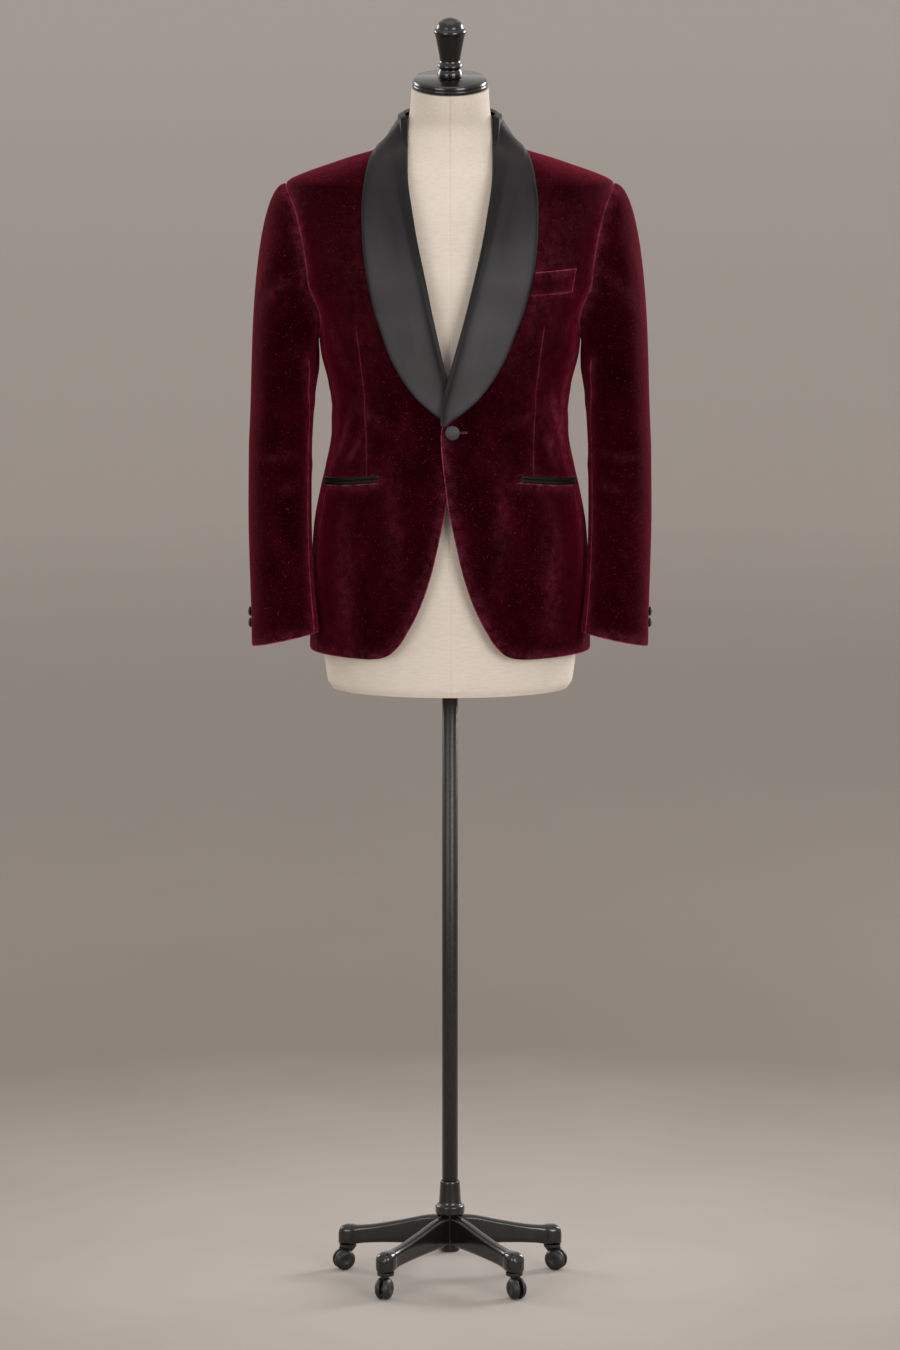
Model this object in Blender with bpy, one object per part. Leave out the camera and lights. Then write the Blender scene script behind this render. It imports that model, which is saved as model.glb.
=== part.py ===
"""A shawl-collared dinner jacket on a limbless dress form with a castor stand.

Table lengths are millimetres and table angles are degrees. The floor is z = 0 and the pole's
axis is x = y = 0. The jacket's front faces -Y, so the wearer's left side is at +X. An angle on
the jacket is counted from the centre front (0) over the wearer's left side (90) to the
centre back (180).
"""

import math

import bpy
import numpy as np
from mathutils import Matrix, Vector

# Start from an empty scene.
for old in list(bpy.data.objects):
    bpy.data.objects.remove(old)

METRES = 0.001

# Sizes that more than one piece uses.
CLOTH = 2.2
SEAM_GAP = 0.3
LAY_GAP = 0.5
TRIM_WALL = 1.3
TRIM_LIFT = 0.8
NECK_HEIGHT = 1598.0
FRONT_SEAM_ANGLE = 77.0
BACK_SEAM_ANGLE = 107.5
FRONT_ROUNDNESS = 2.05
BACK_ROUNDNESS = 2.4
SHARP_EDGE = math.radians(40)

# Finishes: colour, roughness, metallic.
VELVET = ((0.022, 0.0005, 0.003), 0.9, 0.0)
SATIN = ((0.012, 0.012, 0.013), 0.45, 0.0)
CANVAS = ((0.62, 0.54, 0.45), 0.9, 0.0)
LACQUER = ((0.01, 0.009, 0.008), 0.3, 0.0)
PAINTED_STEEL = ((0.012, 0.012, 0.012), 0.35, 0.0)
PLASTIC = ((0.011, 0.011, 0.012), 0.45, 0.0)

# The jacket's outer surface: height, half width, y of the widest place, front y, back y.
BODY = [
    (880, 195.5, 18, -127, 138),
    (893, 195, 18, -128, 138),
    (970, 193, 18, -130, 140),
    (1063, 188, 16, -131, 137),
    (1118, 179, 12, -130, 128),
    (1152, 171.5, 9, -128, 121),
    (1201, 163.6, 6, -126, 112),
    (1247, 164.5, 4, -128, 108),
    (1308, 178, 2, -137, 112),
    (1358, 184, 2, -142, 120),
    (1408, 208, 4, -141, 128),
    (1460, 214, 6, -130, 130),
    (1500, 222, 8, -112, 124),
    (1530, 226, 9.3, -94, 111),
    (1541, 225, 10, -87, 106),
    (1546, 219.5, 10, -83, 103.5),
    (1552, 206.5, 10.3, -78.5, 100),
    (1572, 150, 12, -64, 88),
    (1598, 76, 14, -42, 78),
    (1618, 67, 14, -36, 73),
    (1650, 62, 14, -33, 69),
]

# The line on which the two fronts close: height, x.
CLOSING_LINE = [(880, -4), (1250, -4), (1450, 0), (1700, 0)]

# The left front's lap over the right one: how far it stands out, how much more over the lapel, and
# the stretches of x and height over which it comes and goes.
LAP_OUT = 3.4
LAP_OVER_LAPEL = 4.2
LAP_ACROSS = (105, 14)
LAP_STARTS = (1025, 1085)
LAP_RISES = (1130, 1200)
LAP_ENDS = (1400, 1290)

# Edge of the left front below its button: height, x.
FRONT_EDGE = [
    (894, 105),
    (896.6, 87),
    (908.5, 68),
    (936, 49.3),
    (966, 34.2),
    (1015, 17.4),
    (1064, 6.1),
    (1110, -3.3),
    (1140, -6.9),
    (1185, -11.4),
    (1216, -12.5),
]

# Fold of the left lapel from the button to the side of the neck: height, x.
ROLL_LINE = [
    (1210, -10.8),
    (1236, -9.8),
    (1284, 0.7),
    (1394, 30.3),
    (1497, 52.7),
    (1562, 61.1),
    (1632, 60.7),
]

# How far a front ends inside the fold, and the heights over which its edge becomes the fold.
ROLL_TURNOVER = 3.5
TURNOVER_STARTS = (1212, 1245)
FOLD_STARTS = (1205, 1222)

# Free edge of the left lapel: height, x, and how much higher the fold is on the same row.
SHAWL_EDGE = [
    (1217, -7.6, 0),
    (1227, 2.5, 0),
    (1236, 14.6, 0),
    (1258, 38.8, 0),
    (1309, 73.4, 0),
    (1343, 88, 0),
    (1383, 103, 0),
    (1431, 114.2, 0),
    (1475, 119.2, 0),
    (1514, 120.2, 4),
    (1549, 116.4, 14),
    (1574, 110.4, 26),
    (1588.5, 102.5, 41.5),
]

# Collar from the side of the neck to the centre back: share of the way, angle and height of
# the fold, angle and height of the free edge.
COLLAR = [
    (0.0, 74.5, 1630, 90, 1588.5),
    (0.3, 105, 1635, 114, 1589.5),
    (0.65, 144, 1638.5, 147, 1591.5),
    (1.0, 180, 1640, 180, 1592),
]

# The collar's turn at the fold: distance beyond the fold line, height above the panel, and the
# distance beyond where the collar still lies flat near the button.
TURNOVER = [(0.6, -2.4, 2.2), (3.0, -1.6, 1.6), (3.8, 1.4, 1.0), (2.0, 5.4, 0.4)]
LEAF_SHARES = (0.02, 0.1, 0.22, 0.38, 0.56, 0.78, 1.0)
TURN_STARTS = (1236, 1275)

# The leaf swells beside the fold: how much, how wide, from which widths of leaf, and how the right
# one, which lies under the lap, grows to its full swell.
ROLL_PUFF = 3.8
PUFF_REACH = 22.0
PUFF_WIDTHS = (4, 60)
RIGHT_PUFF = 0.12
RIGHT_PUFF_GROWS = (1262, 1330)

# Over the shoulder the leaf is lifted a little, leaves the panel in a bridge and turns over slimmer.
SHOULDER_LIFT = 0.9
LIFT_STARTS = (1500, 1560)
BRIDGE_STARTS = (1545, 1606)
BRIDGE_CLEAR = 3.0
BRIDGE_BOW = 2.0
FOLD_SLIMMING = 0.45
PUFF_SLIMMING = 0.75
COLLAR_TIP = 1220.5
COLLAR_SHOULDER = (1545, 1559, 1571, 1579.5, 1585, 1588.5)
COLLAR_BACK = (0.12, 0.28, 0.46, 0.64, 0.82, 1.0)

# The collar's stand: angle and height of the fold above it, and how far short of it the stand ends.
STAND_TOP = [(61, 1598), (66, 1609), (70, 1617), (74.5, 1630), (105, 1635), (144, 1638.5), (180, 1640)]
STAND_ANGLES = (66, 70, 74.5, 78, 84, 90, 105, 120, 135, 150, 165, 180)
STAND_SHORT = 4.5

# The armhole: turn from its top over the front, angle on the jacket, height.
ARMHOLE = [
    (0, 90, 1541),
    (20, 83.5, 1527),
    (45, 79.2, 1501),
    (70, 76.4, 1460),
    (95, 74.3, 1418),
    (115, 74.5, 1389),
    (135, 77, 1360),
    (158, 83.5, 1334),
    (180, 91, 1326),
    (202, 99.5, 1333),
    (222, 107.5, 1358),
    (240, 109.6, 1389),
    (262, 109, 1431),
    (290, 105.8, 1478),
    (315, 101, 1512),
    (340, 95.3, 1532),
    (360, 90, 1541),
]
FRONT_TURNS = (135, 120, 104, 88, 72, 57, 43, 30, 18, 8, 0)
SIDE_TURNS = (135, 158, 180, 202, 222)
BACK_TURNS = (222, 240, 258, 276, 294, 312, 328, 342, 353, 360)

# Heights of the rows of points, shared by the panels so that their seams run side by side.
WAIST_HEIGHTS = [1000, 1032, 1066, 1100, 1135, 1170, 1195, 1214, 1230, 1248, 1268, 1290, 1312]
FRONT_HEIGHTS = np.array([894, 896, 899.5, 905, 914, 928, 946, 970] + WAIST_HEIGHTS, float)
PLAIN_HEIGHTS = np.array([894, 946] + WAIST_HEIGHTS, float)
UNDERARM_SHARE = 0.58
SHOULDER_HEIGHTS = np.array([1545, 1549, 1554, 1562, 1572, 1582, 1591, NECK_HEIGHT - SEAM_GAP / 2])
FRONT_SHARES = np.array([0, 0.07, 0.15, 0.24, 0.34, 0.46, 0.6, 0.79, 1])
BACK_SHARES = np.linspace(0, 1, 7)

# The sleeve below its head: height, centre x, half width, centre y, half depth.
SLEEVE = [
    (900, 226.5, 47, -56, 45),
    (928, 227.5, 46.5, -50, 45),
    (965, 230, 45, -40, 46.5),
    (1017, 233.2, 43.8, -26, 48),
    (1094, 235.2, 43.8, -5, 52),
    (1170, 234.7, 43.8, 7, 56),
    (1216, 232.7, 44, 8.5, 58),
    (1247, 230.9, 44.6, 8, 60),
    (1272, 228.7, 46.1, 7.3, 61.4),
    (1287, 227.3, 47, 6.6, 62.3),
    (1300, 226.95, 46.95, 6, 63),
]
SLEEVE_RING = 1300.0
RING_STEP = 15.0

# The sleeve head: turn, how far it stands out at the seam, how far its lower handle rises.
SLEEVE_HEAD = [
    (0, 18, 199),
    (45, 15, 150),
    (90, 11, 90),
    (135, 7, 36),
    (180, 2, 13),
    (225, 7, 36),
    (270, 11, 85),
    (315, 15, 150),
    (360, 18, 199),
]

# The sleeve's two long seams: share of the way down, turn of the front one, turn of the back one.
SLEEVE_SEAMS = [(0, 135, 276), (0.12, 144, 280), (0.22, 155, 283), (0.72, 155, 318), (1.0, 152, 344)]
SLEEVE_FRONT_TURN = 135
SLEEVE_BACK_TURN = 276
HEAD_SHARES = (0, 0.06, 0.15, 0.28, 0.44, 0.62, 0.81)
ARM_SHARES = (0, 0.13, 0.27, 0.42, 0.57, 0.72, 0.86, 1.0)

# The cuff's edge: its middle height, how much it drops outside and how much it rises in front.
CUFF_HEIGHT = 916.5
CUFF_DROP = 9.5
CUFF_RISE = 2.5

# The breast welt's lower and upper edges: height at an x, slope, that x.
WELT_LOW = (1396.5, 0.049, 109.3)
WELT_HIGH = (1428.0, 0.045, 115.1)
WELT_OUTER = 166.3
WELT_LEAN = 5.7
WELT_CLEAR = 2.2
WELT_COLUMNS = 7

# The hip pockets: (x, height) of both ends of the slit, and the two jets from it.
JET_INNER = (98.0, 1144.4)
JET_OUTER = (173.0, 1132.4)
JET_COLUMNS = 8
JETS = {"upper": (0.2, 5.0), "lower": (-5.0, -0.2)}

# Buttons: (radius, height), and where they are. A button's foot clears the cloth by the seam gap.
FRONT_BUTTON = (10.0, 7.0)
CUFF_BUTTON = (6.8, 5.0)
BUTTON_PLACE = (3.3, 1211.0)
CUFF_BUTTON_HEIGHTS = (937.5, 952.5)
CUFF_BUTTON_TURN = math.radians(352)
CUFF_BUTTON_SINK = 0.3
BUTTON_SEGMENTS = 10

# The dress form under the jacket: height, half width, y of the widest place, front y, back y.
FORM = [
    (840, 164, 16, -98, 110),
    (850, 170, 16, -102, 115),
    (920, 176, 16, -108, 122),
    (1000, 174, 15, -111, 121),
    (1100, 161, 12, -111, 113),
    (1205, 145, 6, -108, 96),
    (1260, 147, 4, -112, 93),
    (1340, 163, 3, -122, 103),
    (1400, 174, 4, -122, 111),
    (1450, 183, 6, -112, 113),
    (1490, 188, 8, -96, 107),
    (1525, 189, 10, -78, 92),
    (1546, 188, 11, -68, 84),
    (1555, 184, 11, -64, 81),
    (1569, 148.5, 12, -55, 75),
    (1595, 74.7, 14, -37, 67),
    (1614, 63, 14, -32, 63),
    (1640, 55, 8, -42, 56),
    (1672.7, 53, 0, -52, 52),
]
FORM_HEIGHTS = (
    840, 850, 880, 930, 1000, 1060, 1120, 1170, 1205, 1240, 1290, 1340, 1390, 1440, 1485,
    1520, 1542, 1554, 1562, 1569, 1575, 1580.5, 1585.5, 1590, 1594, 1602, 1614, 1640, 1672.7,
)

FORM_SEGMENTS = 24

# The top of the neck leans forward, and the neck takes up the lean between two heights.
NECK_TOP = 1673.0
NECK_LEAN = math.radians(11)
NECK_BENDS = (1614, 1672.7)
NECK_AXIS = (0, -math.sin(NECK_LEAN), math.cos(NECK_LEAN))

# Turned pieces: (height, radius) up the axis, and how many sides they have.
CAP_PROFILE = [(0, 49.5), (1.5, 52), (5, 52), (6, 50.8), (7, 52), (11, 51.4), (13, 48.5)]
CAP_SEGMENTS = 20
FINIAL_FOOT = 13.3
FINIAL_PROFILE = [
    (0, 15.6), (2.5, 17), (6.5, 17.4), (10.5, 16), (13, 14.6), (15.3, 16.6), (17.6, 17.4), (20, 16.4),
    (23, 14.2), (26, 13.9), (61, 20.4), (63, 22.2), (66, 22.6), (68.6, 21.6), (70, 19.2), (74.8, 17.9),
    (78.4, 15.4), (82, 10.2), (84.2, 2.5),
]
FINIAL_SEGMENTS = 14
POLE_PROFILE = [(90.3, 11), (839.7, 11)]
POLE_SEGMENTS = 16
HUB_PROFILE = [
    (38, 12.5), (39, 13.5), (91, 13.5), (92.5, 20), (94, 20.5), (103, 20.5), (105, 19), (106, 15.6),
    (137, 13.8), (139, 13), (139, 11.4), (90, 11.4),
]

# A leg from the hub to the boss over its castor: distance out, half width, bottom, top.
LEG = [
    (14, 7.6, 46, 90),
    (30, 7.6, 46, 88),
    (75, 7.8, 44.5, 77),
    (125, 8.4, 40.5, 66.5),
    (139, 10, 38, 65),
    (145, 12.2, 37, 65.5),
    (152, 13, 37, 65.5),
    (158, 12, 37, 64),
    (162, 9.6, 37, 61),
    (164.5, 5, 37, 54),
]

# The rounded top of a leg: distance across and drop, as shares of its half width.
LEG_TOP = [(1, 0.6), (0.8, 0.22), (0.35, 0), (-0.35, 0), (-0.8, 0.22), (-1, 0.6)]

# The stand: radius to the swivel of each castor, and the direction of each leg and its wheel.
CASTOR_CIRCLE = 152.0
CASTOR_TRAIL = 6.0
CASTORS = [(90, 170), (162, 200), (234, 250), (306, 300), (18, -25)]
WHEEL_RADIUS = 15.0
AXLE_HOLE = 3.9
PLATE_SIDES = 12
PLATE_HALF = 2.0
PLATE_ROUND = 8.2
PLATE_TOP = 19.0
FLANGE_PROFILE = [(31.6, 9.5), (32.6, 12), (36.7, 12)]
FLANGE_SEGMENTS = 12
WHEEL_SEGMENTS = 16

# Half of the twin wheel's rim: distance along the axle, radius. The axle is between the halves.
AXLE_RADIUS = 3.2
WHEEL_RIM = [(2.7, WHEEL_RADIUS), (6.5, WHEEL_RADIUS), (11.0, 9.0)]


def smooth(table, column, at):
    """Value of a table's column at a place along its first column, by a monotone cubic."""
    rows = np.array(table, float)
    x = rows[:, 0]
    y = rows[:, column]
    step = np.diff(x)
    slope = np.diff(y) / step
    tangent = np.zeros(len(x))
    tangent[0] = slope[0]
    tangent[-1] = slope[-1]
    for i in range(1, len(x) - 1):
        if slope[i - 1] * slope[i] > 0:
            before = 2 * step[i] + step[i - 1]
            after = step[i] + 2 * step[i - 1]
            tangent[i] = (before + after) / (before / slope[i - 1] + after / slope[i])
    at = np.clip(np.asarray(at, float), x[0], x[-1])
    i = np.clip(np.searchsorted(x, at, side="right") - 1, 0, len(x) - 2)
    t = (at - x[i]) / step[i]
    start = y[i] * (1 + 2 * t) * (1 - t) ** 2 + step[i] * tangent[i] * t * (1 - t) ** 2
    return start + y[i + 1] * t**2 * (3 - 2 * t) - step[i] * tangent[i + 1] * t**2 * (1 - t)


def ramp(value, start, end):
    """Smooth step from 0 at start to 1 at end."""
    t = np.clip((np.asarray(value, float) - start) / (end - start), 0, 1)
    return t * t * (3 - 2 * t)


def unit(vectors):
    return vectors / np.linalg.norm(vectors, axis=-1, keepdims=True)


def section_point(table, angle, height):
    """Point of a rounded section: two half superellipses that share the widest place."""
    turn = np.radians(angle)
    height = np.asarray(height, float) + 0 * turn
    half = smooth(table, 1, height)
    side_y = smooth(table, 2, height)
    front = np.cos(turn) >= 0
    depth = np.where(front, side_y - smooth(table, 3, height), smooth(table, 4, height) - side_y)
    power = np.where(front, FRONT_ROUNDNESS, BACK_ROUNDNESS)
    sides = np.abs(np.sin(turn) / half) ** power
    ends = np.abs(np.cos(turn) / depth) ** power
    reach = (sides + ends) ** (-1 / power)
    return np.stack([reach * np.sin(turn), side_y - reach * np.cos(turn), height], axis=-1)


def body_point(angle, height):
    return section_point(BODY, np.asarray(angle, float), height)


def body_normal(angle, height):
    around = body_point(angle + 0.2, height) - body_point(angle - 0.2, height)
    upward = body_point(angle, height + 0.4) - body_point(angle, height - 0.4)
    return unit(np.cross(around, upward))


def front_angle(x, height):
    """Angle on the front half of the jacket at which its surface has this x."""
    depth = smooth(BODY, 2, height) - smooth(BODY, 3, height)
    share = np.clip(np.abs(x) / smooth(BODY, 1, height), 0, 1)
    forward = depth * (1 - share**FRONT_ROUNDNESS) ** (1 / FRONT_ROUNDNESS)
    return np.degrees(np.arctan2(x, forward))


def on_side(side, x, height):
    """A left front's x, or its mirror on the closing line for the right front (side -1)."""
    return x if side > 0 else 2 * smooth(CLOSING_LINE, 1, height) - x


def lap(side, x, height):
    """How far the left front stands out near the centre, to lie over the right one."""
    if side < 0:
        return 0 * x
    near = ramp(x, *LAP_ACROSS) * ramp(height, *LAP_STARTS) * ramp(height, *LAP_ENDS)
    return near * (LAP_OUT + LAP_OVER_LAPEL * ramp(height, *LAP_RISES))


def panel_point(side, angle, height, out=0.0):
    """Point of a jacket panel, moved out along the surface's normal."""
    base = body_point(angle, height)
    away = lap(side, base[..., 0], base[..., 2]) + out
    return base + body_normal(angle, height) * away[..., None]


def add_object(name, points, faces, finish):
    """Object with its own material from points in millimetres and faces."""
    mesh = bpy.data.meshes.new(name)
    mesh.from_pydata((np.asarray(points) * METRES).tolist(), [], faces)
    corners = []
    for face in faces:
        corners += [[face[0], face[i], face[i + 1]] for i in range(1, len(face) - 1)]
    if np.linalg.det(np.asarray(points)[corners]).sum() < 0:
        mesh.flip_normals()
    mesh.shade_smooth()
    mesh.set_sharp_from_angle(angle=SHARP_EDGE)
    obj = bpy.data.objects.new(name, mesh)
    bpy.context.scene.collection.objects.link(obj)
    material = bpy.data.materials.new(name)
    material.use_nodes = True
    shader = material.node_tree.nodes["Principled BSDF"]
    colour, roughness, metallic = finish
    shader.inputs["Base Color"].default_value = (*colour, 1)
    shader.inputs["Roughness"].default_value = roughness
    shader.inputs["Metallic"].default_value = metallic
    mesh.materials.append(material)
    return obj


def set_origin(obj, place):
    """Moves an object's origin to a place in millimetres and leaves its shape where it is."""
    origin = Vector(place) * METRES
    obj.data.transform(Matrix.Translation(-origin))
    obj.location = origin


def grid_normals(grid):
    """Normals of a grid of points, from the differences along its rows and columns."""
    return unit(np.cross(np.gradient(grid, axis=1), np.gradient(grid, axis=0)))


def cloth_wall(name, outer, normals, wall, finish):
    """Closed wall: a grid of outer points, the same grid moved in, and a rim all round."""
    rows, columns = outer.shape[:2]
    count = rows * columns
    inner = outer - normals * wall
    points = np.concatenate([outer.reshape(-1, 3), inner.reshape(-1, 3)])
    index = np.arange(count).reshape(rows, columns)
    faces = []
    for r in range(rows - 1):
        for c in range(columns - 1):
            quad = [index[r, c], index[r, c + 1], index[r + 1, c + 1], index[r + 1, c]]
            faces.append([int(i) for i in quad])
            faces.append([int(i) + count for i in reversed(quad)])
    rim = [*index[0, :], *index[1:, -1], *index[-1, -2::-1], *index[-2:0:-1, 0]]
    for a, b in zip(rim, rim[1:] + rim[:1]):
        faces.append([int(b), int(a), int(a) + count, int(b) + count])
    return add_object(name, points, faces, finish)


def drawn_in(grid, first, last):
    """Moves a grid's first and last columns half a seam gap towards the middle of the piece."""
    moved = grid.copy()
    if first:
        moved[:, 0] += unit(grid[:, 1] - grid[:, 0]) * SEAM_GAP / 2
    if last:
        moved[:, -1] += unit(grid[:, -2] - grid[:, -1]) * SEAM_GAP / 2
    return moved


def closed_tube(name, rings, finish):
    """Solid through rings of points, with a flat fan at each end."""
    rows, columns = rings.shape[:2]
    ends = [rings[0].mean(axis=0), rings[-1].mean(axis=0)]
    points = np.concatenate([rings.reshape(-1, 3), ends])
    low = rows * columns
    high = low + 1
    last = (rows - 1) * columns
    faces = []
    for c in range(columns):
        after = (c + 1) % columns
        faces.append([low, after, c])
        faces.append([high, last + c, last + after])
        for r in range(rows - 1):
            start = r * columns
            faces.append([start + c, start + after, start + columns + after, start + columns + c])
    return add_object(name, points, faces, finish)


def turned(name, profile, segments, finish, centre=(0, 0, 0), axis=(0, 0, 1), start=0.0):
    """Solid of revolution: a profile of (along the axis, radius) turned about an axis."""
    axis = np.array(axis, float)
    across = np.cross(axis, (0, 0, 1) if abs(axis[2]) < 0.9 else (1, 0, 0))
    across = across / np.linalg.norm(across)
    other = np.cross(axis, across)
    turns = start + 2 * math.pi * np.arange(segments) / segments
    circle = np.cos(turns)[:, None] * across + np.sin(turns)[:, None] * other
    rings = [np.array(centre, float) + axis * along + circle * radius for along, radius in profile]
    return closed_tube(name, np.array(rings), finish)


def roll_angle(side, height):
    return front_angle(on_side(side, smooth(ROLL_LINE, 1, height), height), height)


def front_inner_x(side, height):
    """Inner edge of a front: its free edge up to the button, then just inside the fold."""
    trim = ROLL_TURNOVER * ramp(height, *TURNOVER_STARTS)
    fold = smooth(ROLL_LINE, 1, height) + trim
    edge = smooth(FRONT_EDGE, 1, height)
    x = edge + (fold - edge) * ramp(height, *FOLD_STARTS)
    return on_side(side, x, height)


def with_underarm(heights, turn):
    """Row heights with one more row between the last and the armhole at this turn."""
    last = heights[-1]
    return np.append(heights, last + (smooth(ARMHOLE, 2, turn) - last) * UNDERARM_SHARE)


def sewn_rows(count, low, arm):
    """Marks the rows whose outer end is on the side seam or the shoulder, not on the armhole."""
    marks = np.ones(count, bool)
    marks[low:low + arm - 1] = False
    return marks


def add_front(side, name):
    turns = np.array(FRONT_TURNS, float)
    low = with_underarm(FRONT_HEIGHTS, turns[0])
    heights = np.concatenate([low, smooth(ARMHOLE, 2, turns), SHOULDER_HEIGHTS])
    outer_angle = np.concatenate(
        [
            np.full(len(low), FRONT_SEAM_ANGLE),
            smooth(ARMHOLE, 1, turns),
            np.full(len(SHOULDER_HEIGHTS), 90.0),
        ]
    )
    inner_angle = front_angle(front_inner_x(side, heights), heights)
    angles = inner_angle[:, None] + (side * outer_angle - inner_angle)[:, None] * FRONT_SHARES
    heights = np.repeat(heights[:, None], len(FRONT_SHARES), axis=1)
    outer = panel_point(side, angles, heights)
    at_seam = sewn_rows(len(heights), len(low), len(turns))
    outer[at_seam] = drawn_in(outer[at_seam], False, True)
    cloth_wall(name, outer, body_normal(angles, heights), CLOTH, VELVET)


def add_side(side, name):
    turns = np.array(SIDE_TURNS, float)
    angles = smooth(ARMHOLE, 1, turns)
    top = smooth(ARMHOLE, 2, turns)
    last = PLAIN_HEIGHTS[-1]
    low = np.repeat(PLAIN_HEIGHTS[:, None], len(turns), axis=1)
    heights = np.concatenate([low, [last + (top - last) * UNDERARM_SHARE, top]])
    angles = np.repeat(side * angles[None, :], len(heights), axis=0)
    outer = drawn_in(body_point(angles, heights), True, True)
    cloth_wall(name, outer, body_normal(angles, heights), CLOTH, VELVET)


def add_back(side, name):
    turns = np.array(BACK_TURNS, float)
    low = with_underarm(PLAIN_HEIGHTS, turns[0])
    heights = np.concatenate([low, smooth(ARMHOLE, 2, turns), SHOULDER_HEIGHTS])
    outer_angle = np.concatenate(
        [
            np.full(len(low), BACK_SEAM_ANGLE),
            smooth(ARMHOLE, 1, turns),
            np.full(len(SHOULDER_HEIGHTS), 90.0),
        ]
    )
    angles = side * (outer_angle[:, None] + (180 - outer_angle)[:, None] * BACK_SHARES)
    heights = np.repeat(heights[:, None], len(BACK_SHARES), axis=1)
    outer = body_point(angles, heights)
    at_seam = sewn_rows(len(heights), len(low), len(turns))
    outer[at_seam] = drawn_in(outer[at_seam], True, False)
    outer = drawn_in(outer, False, True)
    cloth_wall(name, outer, body_normal(angles, heights), CLOTH, VELVET)


def sleeve_hem(turn):
    """Height of the cuff's edge: lowest at the outside, highest against the body."""
    return CUFF_HEIGHT - CUFF_DROP * np.cos(turn) + CUFF_RISE * np.sin(turn)


def sleeve_ring(side, turn, height):
    """Point of the hanging sleeve at a turn (0 outside, 90 degrees front) and height."""
    x = smooth(SLEEVE, 1, height) + smooth(SLEEVE, 2, height) * np.cos(turn)
    y = smooth(SLEEVE, 3, height) - smooth(SLEEVE, 4, height) * np.sin(turn)
    return np.stack([side * x, y, height + 0 * turn], axis=-1)


def sleeve_grid(side, turns):
    """The sleeve's outer points: a curved head from the armhole to a ring, then rings to the cuff."""
    angle = side * smooth(ARMHOLE, 1, turns)
    height = smooth(ARMHOLE, 2, turns)
    seam = body_point(angle, height)
    normal = body_normal(angle, height)
    along = unit(np.roll(seam, -1, axis=0) - np.roll(seam, 1, axis=0))
    inward = unit(np.cross(normal, along))
    centre = seam.mean(axis=0)
    inward *= np.sign(((centre - seam) * inward).sum(axis=1, keepdims=True))
    turn = np.radians(turns)
    first = seam + inward * SEAM_GAP
    second = first + normal * smooth(SLEEVE_HEAD, 1, turns)[:, None]
    ring = sleeve_ring(side, turn, SLEEVE_RING)
    below = sleeve_ring(side, turn, SLEEVE_RING - RING_STEP)
    third = ring + unit(ring - below) * smooth(SLEEVE_HEAD, 2, turns)[:, None]
    rows = []
    for t in HEAD_SHARES:
        near = first * (1 - t) ** 3 + second * 3 * t * (1 - t) ** 2
        rows.append(near + third * 3 * t**2 * (1 - t) + ring * t**3)
    head_front = np.mod(turns - SLEEVE_BACK_TURN, 360)
    whole = 360 - (SLEEVE_BACK_TURN - SLEEVE_FRONT_TURN)
    upper = head_front <= whole
    share = np.where(upper, head_front / whole, (turns - SLEEVE_FRONT_TURN) / (360 - whole))
    for down in ARM_SHARES:
        front = smooth(SLEEVE_SEAMS, 1, down)
        back = smooth(SLEEVE_SEAMS, 2, down)
        twist = np.where(upper, back + share * (front + 360 - back), front + share * (back - front))
        turn = np.radians(twist)
        height = SLEEVE_RING + (sleeve_hem(turn) - SLEEVE_RING) * down
        rows.append(sleeve_ring(side, turn, height))
    return np.array(rows)


def add_sleeve(side, top_name, under_name):
    turns = np.array(FRONT_TURNS[::-1] + SIDE_TURNS[1:] + BACK_TURNS[1:-1], float)
    grid = sleeve_grid(side, turns)
    wide = np.concatenate([grid[:, -1:], grid, grid[:, :1]], axis=1)
    normals = grid_normals(wide)[:, 1:-1] * side
    front = int(np.flatnonzero(turns == SLEEVE_FRONT_TURN)[0])
    back = int(np.flatnonzero(turns == SLEEVE_BACK_TURN)[0])
    under = np.arange(front, back + 1)
    top = np.concatenate([np.arange(back, len(turns)), np.arange(0, front + 1)])
    for name, columns in ((top_name, top), (under_name, under)):
        outer = drawn_in(grid[:, columns], True, True)
        cloth_wall(name, outer, normals[:, columns], CLOTH, VELVET)


def shawl_rows(side):
    """Angle and height of the fold and of the free edge for each row, from the tip to the back."""
    panel_rows = with_underarm(FRONT_HEIGHTS, FRONT_TURNS[0])
    low = np.concatenate([[COLLAR_TIP], panel_rows[panel_rows > COLLAR_TIP]])
    chest = smooth(ARMHOLE, 2, np.array(FRONT_TURNS[:9], float))
    edge_height = np.concatenate([low, chest, COLLAR_SHOULDER])
    edge_x = on_side(side, smooth(SHAWL_EDGE, 1, edge_height), edge_height)
    fold_height = edge_height + smooth(SHAWL_EDGE, 2, edge_height)
    fold = np.stack([roll_angle(side, fold_height), fold_height], axis=-1)
    edge = np.stack([front_angle(edge_x, edge_height), edge_height], axis=-1)
    way = np.array(COLLAR_BACK)
    turn = np.array([side, 1.0])
    back_fold = np.stack([smooth(COLLAR, 1, way), smooth(COLLAR, 2, way)], axis=-1) * turn
    back_edge = np.stack([smooth(COLLAR, 3, way), smooth(COLLAR, 4, way)], axis=-1) * turn
    return np.concatenate([fold, back_fold]), np.concatenate([edge, back_edge])


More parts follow.
